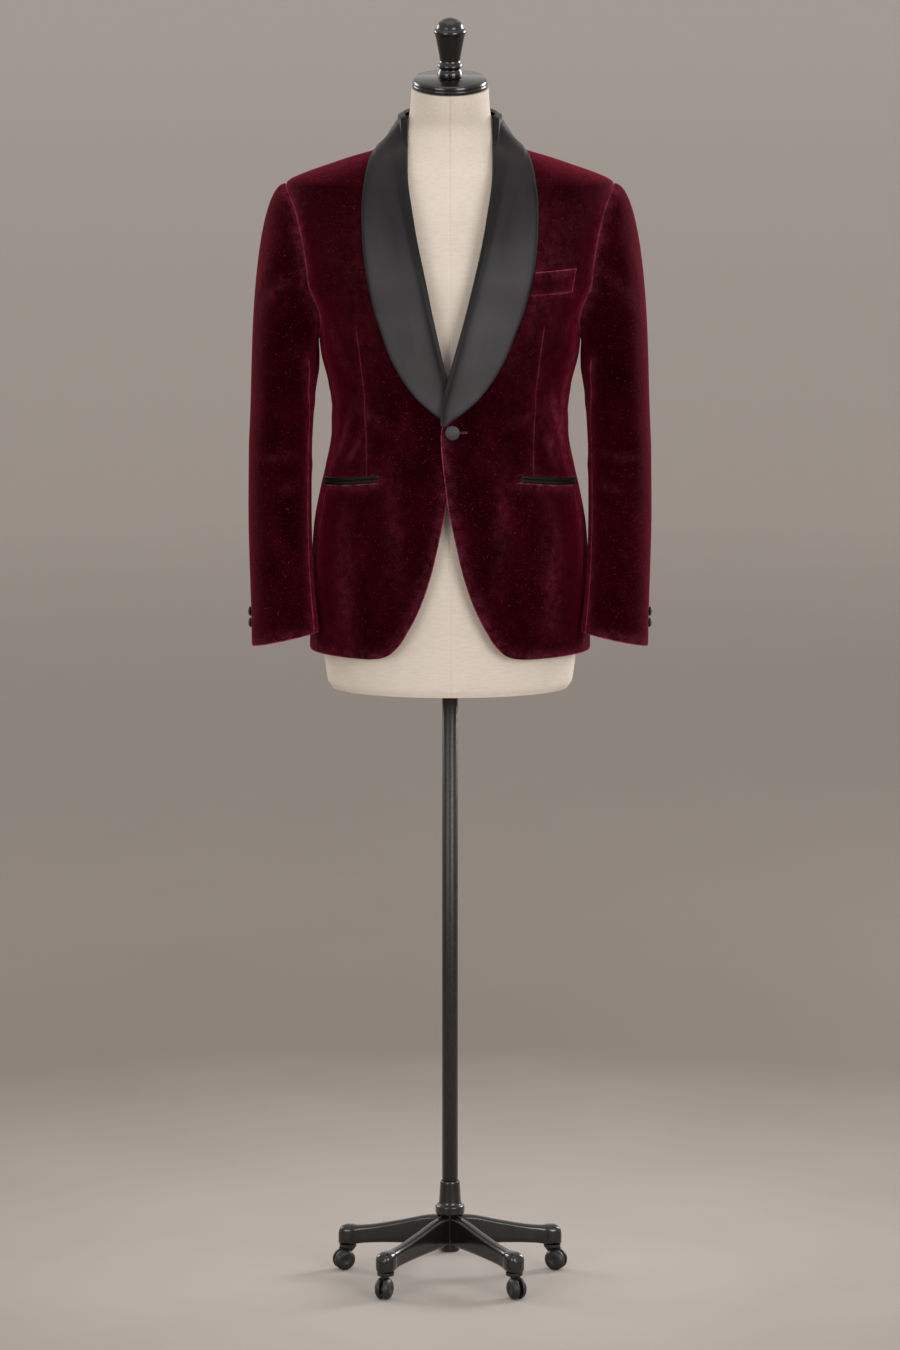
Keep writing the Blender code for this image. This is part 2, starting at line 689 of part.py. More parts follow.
def add_shawl(side, name):
    fold, edge = shawl_rows(side)
    rows = []
    for (fold_angle, fold_height), (edge_angle, edge_height) in zip(fold, edge):
        lying = LAY_GAP + CLOTH + SHOULDER_LIFT * ramp(fold_height, *LIFT_STARTS)
        start = panel_point(side, fold_angle, fold_height)
        end = panel_point(side, edge_angle, edge_height)
        width = np.linalg.norm(end - start)
        full = ramp(width, *PUFF_WIDTHS)
        if side < 0:
            full *= RIGHT_PUFF + (1 - RIGHT_PUFF) * ramp(fold_height, *RIGHT_PUFF_GROWS)
        share = np.array(LEAF_SHARES)
        angle = fold_angle + (edge_angle - fold_angle) * share
        height = fold_height + (edge_height - fold_height) * share
        puff = lying + ROLL_PUFF * full * np.exp(-((share * width / PUFF_REACH) ** 2)) * (1 - share)
        leaf = panel_point(side, angle, height, puff)
        normal = body_normal(fold_angle, fold_height)
        edge_normal = body_normal(edge_angle, edge_height)
        slim = ramp(fold_height, *BRIDGE_STARTS)
        top = start + normal * (lying + ROLL_PUFF * (1 - PUFF_SLIMMING * slim))
        foot = end + edge_normal * lying
        handle_top = top + (foot - top) / 3 + normal * BRIDGE_BOW
        handle_foot = foot + (top - foot) / 3 + edge_normal * BRIDGE_BOW
        t = share[:, None]
        curve = top * (1 - t) ** 3 + handle_top * 3 * t * (1 - t) ** 2
        curve = curve + handle_foot * 3 * t**2 * (1 - t) + foot * t**3
        clear = ((curve - leaf) * body_normal(angle, height)).sum(axis=-1)
        leaf = leaf + (curve - leaf) * (slim * ramp(clear, 0, BRIDGE_CLEAR))[:, None]
        across = unit(start - leaf[1] - normal * ((start - leaf[1]) @ normal))
        turned_over = ramp(fold_height, *TURN_STARTS)
        turnover = []
        for beyond, above, flat_beyond in TURNOVER:
            past = flat_beyond + (beyond - flat_beyond) * turned_over
            slimmed = above - max(above, 0) * FOLD_SLIMMING * slim
            level = lying + (slimmed - lying) * turned_over
            turnover.append(start + across * past + normal * level)
        rows.append(np.concatenate([turnover, leaf]))
    grid = np.array(rows)
    normals = grid_normals(grid) * side
    grid[-1, :, 0] = side * SEAM_GAP / 2
    normals[-1, :, 0] = 0
    normals[-1] = unit(normals[-1])
    cloth_wall(name, grid, normals, CLOTH, SATIN)


def add_under_collar():
    """Stand of the collar: the jacket's surface above the neck seam, to just under the fold."""
    front = np.array(STAND_ANGLES)
    angles = np.concatenate([front, 360 - front[-2::-1]])
    top = smooth(STAND_TOP, 1, np.minimum(angles, 360 - angles)) - STAND_SHORT
    low = NECK_HEIGHT + SEAM_GAP / 2
    share = np.array([0, 0.5, 1.0])
    heights = low + (top - low)[None, :] * share[:, None]
    angles = np.repeat(angles[None, :], 3, axis=0)
    cloth_wall("under_collar", body_point(angles, heights), body_normal(angles, heights), CLOTH, VELVET)


def add_jet(name, side, low, high):
    """Flat strip along a hip pocket, between two levels above or below the slit.

    Its columns crowd towards the outer end, where the jacket curves away.
    """
    share = np.sin(np.linspace(0, math.pi / 2, JET_COLUMNS))
    level = np.array([low, (low + high) / 2, high])[:, None]
    x = JET_INNER[0] + (JET_OUTER[0] - JET_INNER[0]) * share + 0 * level
    heights = JET_INNER[1] + (JET_OUTER[1] - JET_INNER[1]) * share + level
    angles = front_angle(side * x, heights)
    outer = panel_point(side, angles, heights, TRIM_LIFT + TRIM_WALL)
    cloth_wall(name, outer, body_normal(angles, heights), TRIM_WALL, SATIN)


def add_welt():
    """Breast welt: its inner end runs along the lapel's free edge, its outer end is upright."""
    share = np.linspace(0, 1, WELT_COLUMNS)
    low_x = smooth(SHAWL_EDGE, 1, WELT_LOW[0]) + WELT_CLEAR
    high_x = smooth(SHAWL_EDGE, 1, WELT_HIGH[0]) + WELT_CLEAR
    level = np.array([0, 0.5, 1.0])[:, None]
    inner_x = low_x + (high_x - low_x) * level
    x = inner_x + (WELT_OUTER + WELT_LEAN * level - inner_x) * share
    low = WELT_LOW[0] + WELT_LOW[1] * (x - WELT_LOW[2])
    high = WELT_HIGH[0] + WELT_HIGH[1] * (x - WELT_HIGH[2])
    heights = low + (high - low) * level
    angles = front_angle(x, heights)
    outer = panel_point(1, angles, heights, TRIM_LIFT + TRIM_WALL)
    cloth_wall("breast_welt", outer, body_normal(angles, heights), TRIM_WALL, VELVET)


def add_button(name, foot, normal, radius, height):
    """Covered button: a low dome on a short shank, standing on the cloth."""
    profile = [
        (0.0, 0.3 * radius),
        (0.16 * height, 0.32 * radius),
        (0.2 * height, 0.86 * radius),
        (0.42 * height, radius),
        (0.66 * height, 0.88 * radius),
        (0.87 * height, 0.58 * radius),
        (height, 0.2 * radius),
    ]
    turned(name, profile, BUTTON_SEGMENTS, SATIN, foot + normal * SEAM_GAP, normal)


def add_leg(number, direction):
    """Leg lofted through upright sections: a flat foot, straight sides and a rounded top."""
    out = np.array([math.cos(direction), math.sin(direction), 0])
    left = np.array([-out[1], out[0], 0])
    up = np.array([0, 0, 1.0])
    rings = []
    for distance, half, bottom, top in LEG:
        outline = [(-half, bottom), (half, bottom)]
        outline += [(across * half, top - drop * half) for across, drop in LEG_TOP]
        rings.append([out * distance + left * across + up * height for across, height in outline])
    closed_tube(f"leg_{number}", np.array(rings), LACQUER)


def add_plate(name, centre, back, axle):
    """Upright plate with a round hole for the axle, which leans back to the swivel at its top."""
    rays = 2 * math.pi * np.arange(PLATE_SIDES) / PLATE_SIDES
    along = np.cos(rays)
    up = np.sin(rays)
    reach = np.where(up > 0.8, PLATE_TOP / np.maximum(up, 0.8), PLATE_ROUND)
    outline = []
    for radius in (reach, np.full(PLATE_SIDES, AXLE_HOLE)):
        height = up * radius
        behind = along * radius - CASTOR_TRAIL * np.clip(height / PLATE_TOP, 0, 1)
        flat = centre + behind[:, None] * back + height[:, None] * np.array([0, 0, 1.0])
        outline.append(flat)
    side = axle * PLATE_HALF
    rim, hole = outline
    points = np.concatenate([rim - side, rim + side, hole + side, hole - side])
    faces = []
    for ring in range(4):
        low = PLATE_SIDES * ring
        high = PLATE_SIDES * ((ring + 1) % 4)
        for i in range(PLATE_SIDES):
            after = (i + 1) % PLATE_SIDES
            faces.append([low + i, low + after, high + after, high + i])
    return add_object(name, points, faces, PAINTED_STEEL)


def add_castor(number, direction, heading):
    """Fork with a round flange and one plate, and a twin wheel whose axle runs through it."""
    swivel = CASTOR_CIRCLE * np.array([math.cos(direction), math.sin(direction), 0])
    back = np.array([math.cos(heading), math.sin(heading), 0])
    axle = np.array([-back[1], back[0], 0])
    centre = swivel + back * CASTOR_TRAIL + np.array([0, 0, WHEEL_RADIUS])
    fork = turned(f"castor_fork_{number}", FLANGE_PROFILE, FLANGE_SEGMENTS, PAINTED_STEEL, swivel)
    set_origin(fork, swivel)
    plate = add_plate(f"plate_{number}", centre, back, axle)
    set_origin(plate, swivel)
    join = fork.modifiers.new("plate", "BOOLEAN")
    join.operation = "UNION"
    join.solver = "EXACT"
    join.object = plate
    plate.hide_render = True
    plate.hide_viewport = True
    plate.display_type = "WIRE"
    half_step = math.pi / WHEEL_SEGMENTS
    rim = [(along, radius / math.cos(half_step)) for along, radius in WHEEL_RIM]
    inner = rim[0][0]
    profile = [(-along, radius) for along, radius in reversed(rim)]
    profile += [(-inner, AXLE_RADIUS), (inner, AXLE_RADIUS)] + rim
    wheel = turned(f"castor_wheel_{number}", profile, WHEEL_SEGMENTS, PLASTIC, centre, axle, half_step)
    set_origin(wheel, centre)


add_front(1, "front_left")
add_front(-1, "front_right")
add_side(1, "side_left")
add_side(-1, "side_right")
add_back(1, "back_left")
add_back(-1, "back_right")
add_sleeve(1, "top_sleeve_left", "under_sleeve_left")
add_sleeve(-1, "top_sleeve_right", "under_sleeve_right")
add_shawl(1, "shawl_left")
add_shawl(-1, "shawl_right")
add_under_collar()
add_welt()

for side, word in ((1, "left"), (-1, "right")):
    for kind, (low, high) in JETS.items():
        add_jet(f"pocket_{kind}_jet_{word}", side, low, high)

button_angle = front_angle(BUTTON_PLACE[0], BUTTON_PLACE[1])
button_foot = panel_point(1, button_angle, np.float64(BUTTON_PLACE[1]))
add_button("front_button", button_foot, body_normal(button_angle, BUTTON_PLACE[1]), *FRONT_BUTTON)

for side, word in ((1, "left"), (-1, "right")):
    for number, height in enumerate(CUFF_BUTTON_HEIGHTS, 1):
        foot = sleeve_ring(side, np.float64(CUFF_BUTTON_TURN), height)
        beside = sleeve_ring(side, np.float64(CUFF_BUTTON_TURN + 0.02), height) - foot
        above = sleeve_ring(side, np.float64(CUFF_BUTTON_TURN), height + 1) - foot
        normal = unit(np.cross(beside, above)) * -side
        add_button(f"cuff_button_{word}_{number}", foot - normal * CUFF_BUTTON_SINK, normal, *CUFF_BUTTON)

form_turns = np.arange(0, 360, 360 / FORM_SEGMENTS)
form_angles, form_heights = np.meshgrid(form_turns, np.array(FORM_HEIGHTS, float))
form_points = section_point(FORM, form_angles, form_heights)
form_points[..., 2] += math.tan(NECK_LEAN) * form_points[..., 1] * ramp(form_heights, *NECK_BENDS)
closed_tube("torso_form", form_points, CANVAS)

neck_top = np.array([0, 0, NECK_TOP])
finial_foot = neck_top + FINIAL_FOOT * np.array(NECK_AXIS)
turned("neck_cap", CAP_PROFILE, CAP_SEGMENTS, LACQUER, neck_top, NECK_AXIS)
turned("finial", FINIAL_PROFILE, FINIAL_SEGMENTS, LACQUER, finial_foot, NECK_AXIS)
turned("pole", POLE_PROFILE, POLE_SEGMENTS, PAINTED_STEEL)
turned("base_hub", HUB_PROFILE, POLE_SEGMENTS, LACQUER)

for number, (direction, heading) in enumerate(CASTORS, 1):
    add_leg(number, math.radians(direction))
    add_castor(number, math.radians(direction), math.radians(heading))
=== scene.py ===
# %% [markdown]
# A velvet dinner jacket hangs on a limbless dress form with a castor stand. The solids of the
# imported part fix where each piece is. Here every solid gets a finer surface and its own finish.

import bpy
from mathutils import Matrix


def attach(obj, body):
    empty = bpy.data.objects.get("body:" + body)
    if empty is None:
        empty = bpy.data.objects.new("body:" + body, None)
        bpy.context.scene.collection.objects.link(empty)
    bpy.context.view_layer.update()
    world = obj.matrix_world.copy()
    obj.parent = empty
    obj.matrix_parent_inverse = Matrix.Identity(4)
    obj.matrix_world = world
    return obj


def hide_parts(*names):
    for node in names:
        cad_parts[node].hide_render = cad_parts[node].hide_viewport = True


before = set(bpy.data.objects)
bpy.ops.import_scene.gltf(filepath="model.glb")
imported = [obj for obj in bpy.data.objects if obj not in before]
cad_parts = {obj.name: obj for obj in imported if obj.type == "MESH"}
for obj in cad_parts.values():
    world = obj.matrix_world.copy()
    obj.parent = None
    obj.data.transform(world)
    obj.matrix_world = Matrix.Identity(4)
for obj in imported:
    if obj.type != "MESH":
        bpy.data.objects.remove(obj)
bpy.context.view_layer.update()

# %% [markdown]
# The view is a long lens at chest height that looks slightly down, as for a catalogue picture.
# A long lens keeps the stand and the shoulders at nearly the same scale.

# %% Camera
import math

import bpy
import numpy as np
from mathutils import Vector

CAMERA_DISTANCE = 9.0
CAMERA_PITCH = math.radians(8.5)
AIM_HEIGHT = 0.8575
PICTURE_HEIGHT = 1350
METRES_PER_PIXEL = 0.00139

lens = bpy.data.cameras.new("view")
lens.sensor_fit = "VERTICAL"
lens.sensor_height = 36.0
lens.lens = lens.sensor_height * CAMERA_DISTANCE / (PICTURE_HEIGHT * METRES_PER_PIXEL)
camera = bpy.data.objects.new("view", lens)
behind = CAMERA_DISTANCE * math.cos(CAMERA_PITCH)
above = CAMERA_DISTANCE * math.sin(CAMERA_PITCH)
camera.location = (0, -behind, AIM_HEIGHT + above)
camera.rotation_euler = (math.pi / 2 - CAMERA_PITCH, 0, 0)
bpy.context.scene.collection.objects.link(camera)
bpy.context.scene.camera = camera
print("lens:", round(lens.lens, 1), "mm")

# %% [markdown]
# A garment is a set of smooth curves, so each measure is a short table over height and is read
# with a monotone cubic: it never swells between two rows of the table. The jacket is a stack of
# rounded sections, and a place on it is an angle round the body and a height. All lengths in the
# tables are millimetres.

# %% Reading tables
METRES = 0.001


def smooth(table, column, at):
    """Monotone cubic through a table's column: Hermite pieces with harmonic mean slopes."""
    rows = np.array(table, float)
    x = rows[:, 0]
    y = rows[:, column]
    step = np.diff(x)
    slope = np.diff(y) / step
    same = slope[:-1] * slope[1:] > 0
    before = 2 * step[1:] + step[:-1]
    after = step[1:] + 2 * step[:-1]
    low = np.where(same, slope[:-1], 1)
    high = np.where(same, slope[1:], 1)
    middle = np.where(same, (before + after) / (before / low + after / high), 0)
    tangent = np.concatenate([slope[:1], middle, slope[-1:]])
    at = np.clip(np.asarray(at, float), x[0], x[-1])
    i = np.clip(np.searchsorted(x, at, side="right") - 1, 0, len(x) - 2)
    t = (at - x[i]) / step[i]
    start = y[i] * (1 + 2 * t) * (1 - t) ** 2 + step[i] * tangent[i] * t * (1 - t) ** 2
    return start + y[i + 1] * t**2 * (3 - 2 * t) - step[i] * tangent[i + 1] * t**2 * (1 - t)


def ramp(value, start, end):
    """Smooth step from 0 at start to 1 at end: 3t^2 - 2t^3."""
    t = np.clip((np.asarray(value, float) - start) / (end - start), 0, 1)
    return t * t * (3 - 2 * t)


def unit(vectors):
    """Vectors divided by their lengths."""
    return vectors / np.linalg.norm(vectors, axis=-1, keepdims=True)


# %% The jacket's surface
FRONT_ROUNDNESS = 2.05
BACK_ROUNDNESS = 2.4
CHEST_HEIGHT = 1408.0
TURN_STEP = 0.2
RISE_STEP = 0.4

# Height, half width, y of the widest place, front y, back y.
BODY = [
    (880, 195.5, 18, -127, 138),
    (893, 195, 18, -128, 138),
    (970, 193, 18, -130, 140),
    (1063, 188, 16, -131, 137),
    (1118, 179, 12, -130, 128),
    (1152, 171.5, 9, -128, 121),
    (1201, 163.6, 6, -126, 112),
    (1247, 164.5, 4, -128, 108),
    (1308, 178, 2, -137, 112),
    (1358, 184, 2, -142, 120),
    (1408, 208, 4, -141, 128),
    (1460, 214, 6, -130, 130),
    (1500, 222, 8, -112, 124),
    (1530, 226, 9.3, -94, 111),
    (1541, 225, 10, -87, 106),
    (1546, 219.5, 10, -83, 103.5),
    (1552, 206.5, 10.3, -78.5, 100),
    (1572, 150, 12, -64, 88),
    (1598, 76, 14, -42, 78),
    (1618, 67, 14, -36, 73),
    (1650, 62, 14, -33, 69),
]


def section_point(table, angle, height):
    """Superellipse section: (|sin|/half width)^n + (|cos|/depth)^n = 1 / reach^n."""
    turn = np.radians(angle)
    height = np.asarray(height, float) + 0 * turn
    half = smooth(table, 1, height)
    side_y = smooth(table, 2, height)
    front = np.cos(turn) >= 0
    depth = np.where(front, side_y - smooth(table, 3, height), smooth(table, 4, height) - side_y)
    power = np.where(front, FRONT_ROUNDNESS, BACK_ROUNDNESS)
    sides = np.abs(np.sin(turn) / half) ** power
    ends = np.abs(np.cos(turn) / depth) ** power
    reach = (sides + ends) ** (-1 / power)
    return np.stack([reach * np.sin(turn), side_y - reach * np.cos(turn), height], axis=-1)


def body_point(angle, height):
    """Point of the jacket's outer surface, on the section at this height."""
    return section_point(BODY, np.asarray(angle, float), height)


def body_normal(angle, height):
    """Cross product of a small step round the body and a small step up it."""
    around = body_point(angle + TURN_STEP, height) - body_point(angle - TURN_STEP, height)
    upward = body_point(angle, height + RISE_STEP) - body_point(angle, height - RISE_STEP)
    return unit(np.cross(around, upward))


def front_angle(x, height):
    """Angle on the front half of the jacket at which its surface has this x."""
    depth = smooth(BODY, 2, height) - smooth(BODY, 3, height)
    share = np.clip(np.abs(x) / smooth(BODY, 1, height), 0, 1)
    forward = depth * (1 - share**FRONT_ROUNDNESS) ** (1 / FRONT_ROUNDNESS)
    return np.degrees(np.arctan2(x, forward))


chest = body_point(np.linspace(0, 360, 361), CHEST_HEIGHT)
chest_round = np.linalg.norm(np.diff(chest, axis=0), axis=1).sum()
print("round the chest:", round(chest_round), "mm")

# %% [markdown]
# Velvet has a standing pile. It is dark where it is seen straight on and pale where it is seen
# from the side, so the finish is a deep red with a strong sheen. The pile lies in drifts, which
# makes soft clouds, and it wears pale along every sewn edge, where a painted highlight of the
# raised edge lies on it too; painted highlights also lie on crease ridges and the lit fronts. The
# clouds are noise on the object's own coordinates, and the worn edges and painted highlights come
# from numbers kept on each point of the cloth.

# %% Shared parts of a material
NOISE_DETAIL = 4.0


def colour(red, green, blue):
    """Linear colour of a 0 to 255 screen colour."""
    screen = np.array([red, green, blue]) / 255
    low = screen / 12.92
    high = ((screen + 0.055) / 1.055) ** 2.4
    return (*np.where(screen <= 0.04045, low, high).tolist(), 1.0)


def new_material(name):
    """Material, its node tree and its shader."""
    material = bpy.data.materials.new(name)
    material.use_nodes = True
    tree = material.node_tree
    return material, tree, tree.nodes["Principled BSDF"]


def noise(tree, vector, scale, detail=NOISE_DETAIL):
    """Noise of about one cloud in every 1 / scale metres."""
    node = tree.nodes.new("ShaderNodeTexNoise")
    node.inputs["Scale"].default_value = scale
    node.inputs["Detail"].default_value = detail
    tree.links.new(vector, node.inputs["Vector"])
    return node.outputs["Fac"]


def stretched(tree, vector, scale):
    """Vector multiplied by a scale along each axis."""
    node = tree.nodes.new("ShaderNodeMapping")
    node.inputs["Scale"].default_value = scale
    tree.links.new(vector, node.inputs["Vector"])
    return node.outputs["Vector"]


def between(tree, share, low, high, start=0.0, end=1.0):
    """Number that runs from low to high as share runs from start to end, and stays there beyond."""
    node = tree.nodes.new("ShaderNodeMapRange")
    node.inputs["From Min"].default_value = start
    node.inputs["From Max"].default_value = end
    node.inputs["To Min"].default_value = low
    node.inputs["To Max"].default_value = high
    tree.links.new(share, node.inputs["Value"])
    return node.outputs["Result"]


def combine(tree, operation, first, second):
    """Math node on two sockets, or on a socket and a number."""
    node = tree.nodes.new("ShaderNodeMath")
    node.operation = operation
    for place, value in enumerate((first, second)):
        if isinstance(value, (int, float)):
            node.inputs[place].default_value = value
        else:
            tree.links.new(value, node.inputs[place])
    return node.outputs[0]


def weighted(tree, *parts):
    """Sum of sockets, each times its weight."""
    total = 0.0
    for socket, weight in parts:
        total = combine(tree, "ADD", combine(tree, "MULTIPLY", socket, weight), total)
    return total


def colour_steps(tree, share, steps):
    """Colour ramp: steps are (share, linear colour)."""
    node = tree.nodes.new("ShaderNodeValToRGB")
    elements = node.color_ramp.elements
    for place, (at, tint) in enumerate(steps):
        element = elements[place] if place < 2 else elements.new(at)
        element.position = at
        element.color = tint
    tree.links.new(share, node.inputs["Fac"])
    return node.outputs["Color"]


def mix_colour(tree, share, first, second):
    """First colour (a socket) turned into the second (a value) by a share."""
    node = tree.nodes.new("ShaderNodeMix")
    node.data_type = "RGBA"
    tree.links.new(share, node.inputs[0])
    tree.links.new(first, node.inputs[6])
    node.inputs[7].default_value = second
    return node.outputs[2]


def bump(tree, shader, height, depth, strength=1.0):
    """Bump of a given depth in metres."""
    node = tree.nodes.new("ShaderNodeBump")
    node.inputs["Distance"].default_value = depth
    node.inputs["Strength"].default_value = strength
    tree.links.new(height, node.inputs["Height"])
    tree.links.new(node.outputs["Normal"], shader.inputs["Normal"])


def object_coordinates(tree):
    """Place in metres on the piece."""
    return tree.nodes.new("ShaderNodeTexCoord").outputs["Object"]


def own_uv(tree):
    """Place on the piece's own flat map."""
    return tree.nodes.new("ShaderNodeTexCoord").outputs["UV"]


def own_number(tree, name):
    """A number that the piece carries at each point, and 0 where it carries none."""
    node = tree.nodes.new("ShaderNodeAttribute")
    node.attribute_name = name
    return node.outputs["Fac"]


# %% Velvet
VELVET_DEEP = colour(15, 0, 2)
VELVET_MIDDLE = colour(27, 1, 5)
VELVET_PALE = colour(46, 3, 12)
# Pale colour of worn and rubbed pile, also used for painted highlights.
VELVET_WORN_AND_LIT = colour(196, 84, 110)
VELVET_SHEEN = colour(176, 34, 64)


def make_velvet():
    """Drifts, patches and specks of pile in three reds, paler where the pile wears and where a highlight is
    painted on, and at sparse specks.
    """
    material, tree, shader = new_material("burgundy_velvet")
    place = object_coordinates(tree)
    drifts = noise(tree, stretched(tree, place, (1.0, 1.0, 0.55)), 24.0)
    patches = noise(tree, place, 85.0)
    specks = noise(tree, place, 900.0, 2.0)
    share = weighted(tree, (drifts, 0.46), (patches, 0.18), (specks, 0.36))
    pile = colour_steps(tree, share, [(0.36, VELVET_DEEP), (0.5, VELVET_MIDDLE), (0.66, VELVET_PALE)])
    grains = weighted(tree, (patches, 0.4), (specks, 0.6))
    # Pale lines and bands along sewn lines, ridges and the lit fronts: worn pile and painted highlight.
    worn_and_lit = combine(tree, "MULTIPLY", own_number(tree, "nap_and_highlight"), between(tree, grains, 0.0, 1.2, 0.32, 0.62))
    open_pile = between(tree, grains, 0.0, 1.0, 0.4, 0.66)
    rubbed_and_lit = combine(tree, "MULTIPLY", own_number(tree, "rub_and_highlight"), open_pile)
    # Sparse pale specks.
    pale_specks = between(tree, noise(tree, place, 430.0, 1.0), 0.0, 0.16, 0.66, 0.8)
    worn_and_lit = combine(tree, "MAXIMUM", combine(tree, "MAXIMUM", worn_and_lit, rubbed_and_lit), pale_specks)
    tree.links.new(mix_colour(tree, worn_and_lit, pile, VELVET_WORN_AND_LIT), shader.inputs["Base Color"])
    tree.links.new(between(tree, specks, 0.72, 0.95), shader.inputs["Roughness"])
    shader.inputs["Specular IOR Level"].default_value = 0.03
    shader.inputs["Specular Tint"].default_value = VELVET_SHEEN
    shader.inputs["Sheen Weight"].default_value = 0.6
    shader.inputs["Sheen Roughness"].default_value = 0.38
    shader.inputs["Sheen Tint"].default_value = VELVET_SHEEN
    bump(tree, shader, share, 0.005, 0.8)
    return material


velvet = make_velvet()
print("finish:", velvet.name)

# %% [markdown]
# The inside of the jacket is a black lining. It shows only at the cuffs, the hem and the neck,
# so it is the second finish on the inner faces of each wall of cloth.

# %% Lining
LINING_BLACK = colour(26, 22, 23)


def make_lining():
    """Black with fine upright ribs in its tone and gloss."""
    material, tree, shader = new_material("black_lining")
    place = object_coordinates(tree)
    ribs = noise(tree, stretched(tree, place, (600.0, 600.0, 40.0)), 1.0, 2.0)
    tone = colour_steps(tree, ribs, [(0.3, colour(14, 12, 13)), (0.7, LINING_BLACK)])
    tree.links.new(tone, shader.inputs["Base Color"])
    tree.links.new(between(tree, ribs, 0.38, 0.55), shader.inputs["Roughness"])
    bump(tree, shader, ribs, 0.0003, 0.5)
    return material


lining = make_lining()
print("finish:", lining.name)

# %% [markdown]
# Each piece of cloth is a closed wall: a grid of outer points, the same grid moved in by the
# thickness of the cloth, and a rim between. Whole arrays make the faces, with no loop over points.
# A shared helper turns arrays into an object, gives it its finish and hangs it on its body.

# %% Meshes from arrays
ROOT_BODY = "form_and_jacket"
SHARP_EDGE = math.radians(50)


def grid_quads(rows, columns):
    """Quads of a grid of points that is stored row by row."""
    index = np.arange(rows * columns).reshape(rows, columns)
    corners = [index[:-1, :-1], index[:-1, 1:], index[1:, 1:], index[1:, :-1]]
    return np.stack(corners, axis=-1).reshape(-1, 4)


def volume_sign(points, quads):
    """Sign of the volume: the sum of the triple products of the faces' corners."""
    a, b, c, d = (points[quads[:, corner]] for corner in range(4))
    turns = np.einsum("ij,ij->i", a, np.cross(b, c)) + np.einsum("ij,ij->i", a, np.cross(c, d))
    return np.sign(turns.sum())


def add_piece(name, points, quads, finishes, node, body=ROOT_BODY, fans=(), uv=None, inside=None):
    """Object from points in millimetres, quads, and fans of faces given as rings of indices."""
    points = np.asarray(points, float)
    quads = quads if volume_sign(points, quads) > 0 else quads[:, ::-1]
    mesh = bpy.data.meshes.new(name)
    mesh.from_pydata((points * METRES).tolist(), [], quads.tolist() + [list(fan) for fan in fans])
    for finish in finishes:
        mesh.materials.append(finish)
    if uv is not None:
        corners = np.empty(len(mesh.loops), np.int32)
        mesh.loops.foreach_get("vertex_index", corners)
        layer = mesh.uv_layers.new(name="cloth")
        layer.data.foreach_set("uv", (uv[corners] * METRES).ravel())
    if inside is not None:
        mesh.polygons.foreach_set("material_index", inside.astype(np.int32))
    mesh.shade_smooth()
    mesh.set_sharp_from_angle(angle=SHARP_EDGE)
    mesh.update()
    piece = bpy.data.objects.new(name, mesh)
    bpy.context.scene.collection.objects.link(piece)
    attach(piece, body)
    if node:
        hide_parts(node)
    return piece


def lengths_along(grid, axis):
    """Distance travelled along an axis of a grid of points, from 0 at its start."""
    steps = np.linalg.norm(np.diff(grid, axis=axis), axis=-1)
    start = np.zeros_like(np.take(steps, [0], axis=axis))
    return np.concatenate([start, np.cumsum(steps, axis=axis)], axis=axis)


def grid_uv(grid):
    """Cloth coordinates: the distance along each row and along each column."""
    across = lengths_along(grid, 1)
    down = lengths_along(grid, 0)
    return np.stack([across, down], axis=-1)


def add_cloth(name, outer, inner, finishes, node, wear_and_light=None):
    """Closed wall between two grids, with the second finish on its inner faces."""
    rows, columns = outer.shape[:2]
    count = rows * columns
    points = np.concatenate([outer, inner]).reshape(-1, 3)
    face = grid_quads(rows, columns)
    index = np.arange(count).reshape(rows, columns)
    rim = np.concatenate([index[0], index[1:, -1], index[-1, -2::-1], index[-2:0:-1, 0]])
    after = np.roll(rim, -1)
    edge = np.stack([after, rim, rim + count, after + count], axis=-1)
    quads = np.concatenate([face, face[:, ::-1] + count, edge])
    inside = np.zeros(len(quads))
    inside[len(face):2 * len(face)] = len(finishes) - 1
    uv = np.tile(grid_uv(outer).reshape(-1, 2), (2, 1))
    piece = add_piece(name, points, quads, finishes, node, uv=uv, inside=inside)
    for kind, values in (wear_and_light or {}).items():
        both = np.tile(values.ravel(), 2).astype(np.float32)
        piece.data.attributes.new(kind, "FLOAT", "POINT").data.foreach_set("value", both)
    return piece


def quad_area(grid):
    """Area of a grid: half the cross product of the diagonals of each quad."""
    one = grid[1:, 1:] - grid[:-1, :-1]
    other = grid[1:, :-1] - grid[:-1, 1:]
    return 0.5 * np.linalg.norm(np.cross(one, other), axis=-1).sum()


LEAST_FILL = 0.31
flat_sizes = {}


def declare_cloth(piece, outer):
    width = lengths_along(outer, 1)[:, -1].max() * METRES
    length = lengths_along(outer, 0)[-1].max() * METRES
    area = quad_area(outer) * METRES**2
    area = min(max(area, LEAST_FILL * width * length), width * length)
    flat_sizes[piece.name] = (round(width, 3), round(length, 3), round(area, 4))
    print(piece.name, "cut", flat_sizes[piece.name], "faces", len(piece.data.polygons))


# %% [markdown]
# A sewn edge sinks a little into the cloth and its pile opens, which reads as a thin pale line
# with a rubbed band beside it; both are partly a painted highlight. All three follow from the
# distance to the nearest sewn line, as bell curves of that distance. Soft creases are long
# bell-shaped ridges, each placed from a short table, and the pile on the ridges is rubbed pale
# too, partly as a painted highlight.

# %% Seams and creases
CLOTH = 2.2
SEAM_GAP = 0.3
LAY_GAP = 0.5
SEAM_SOFT = 1.7

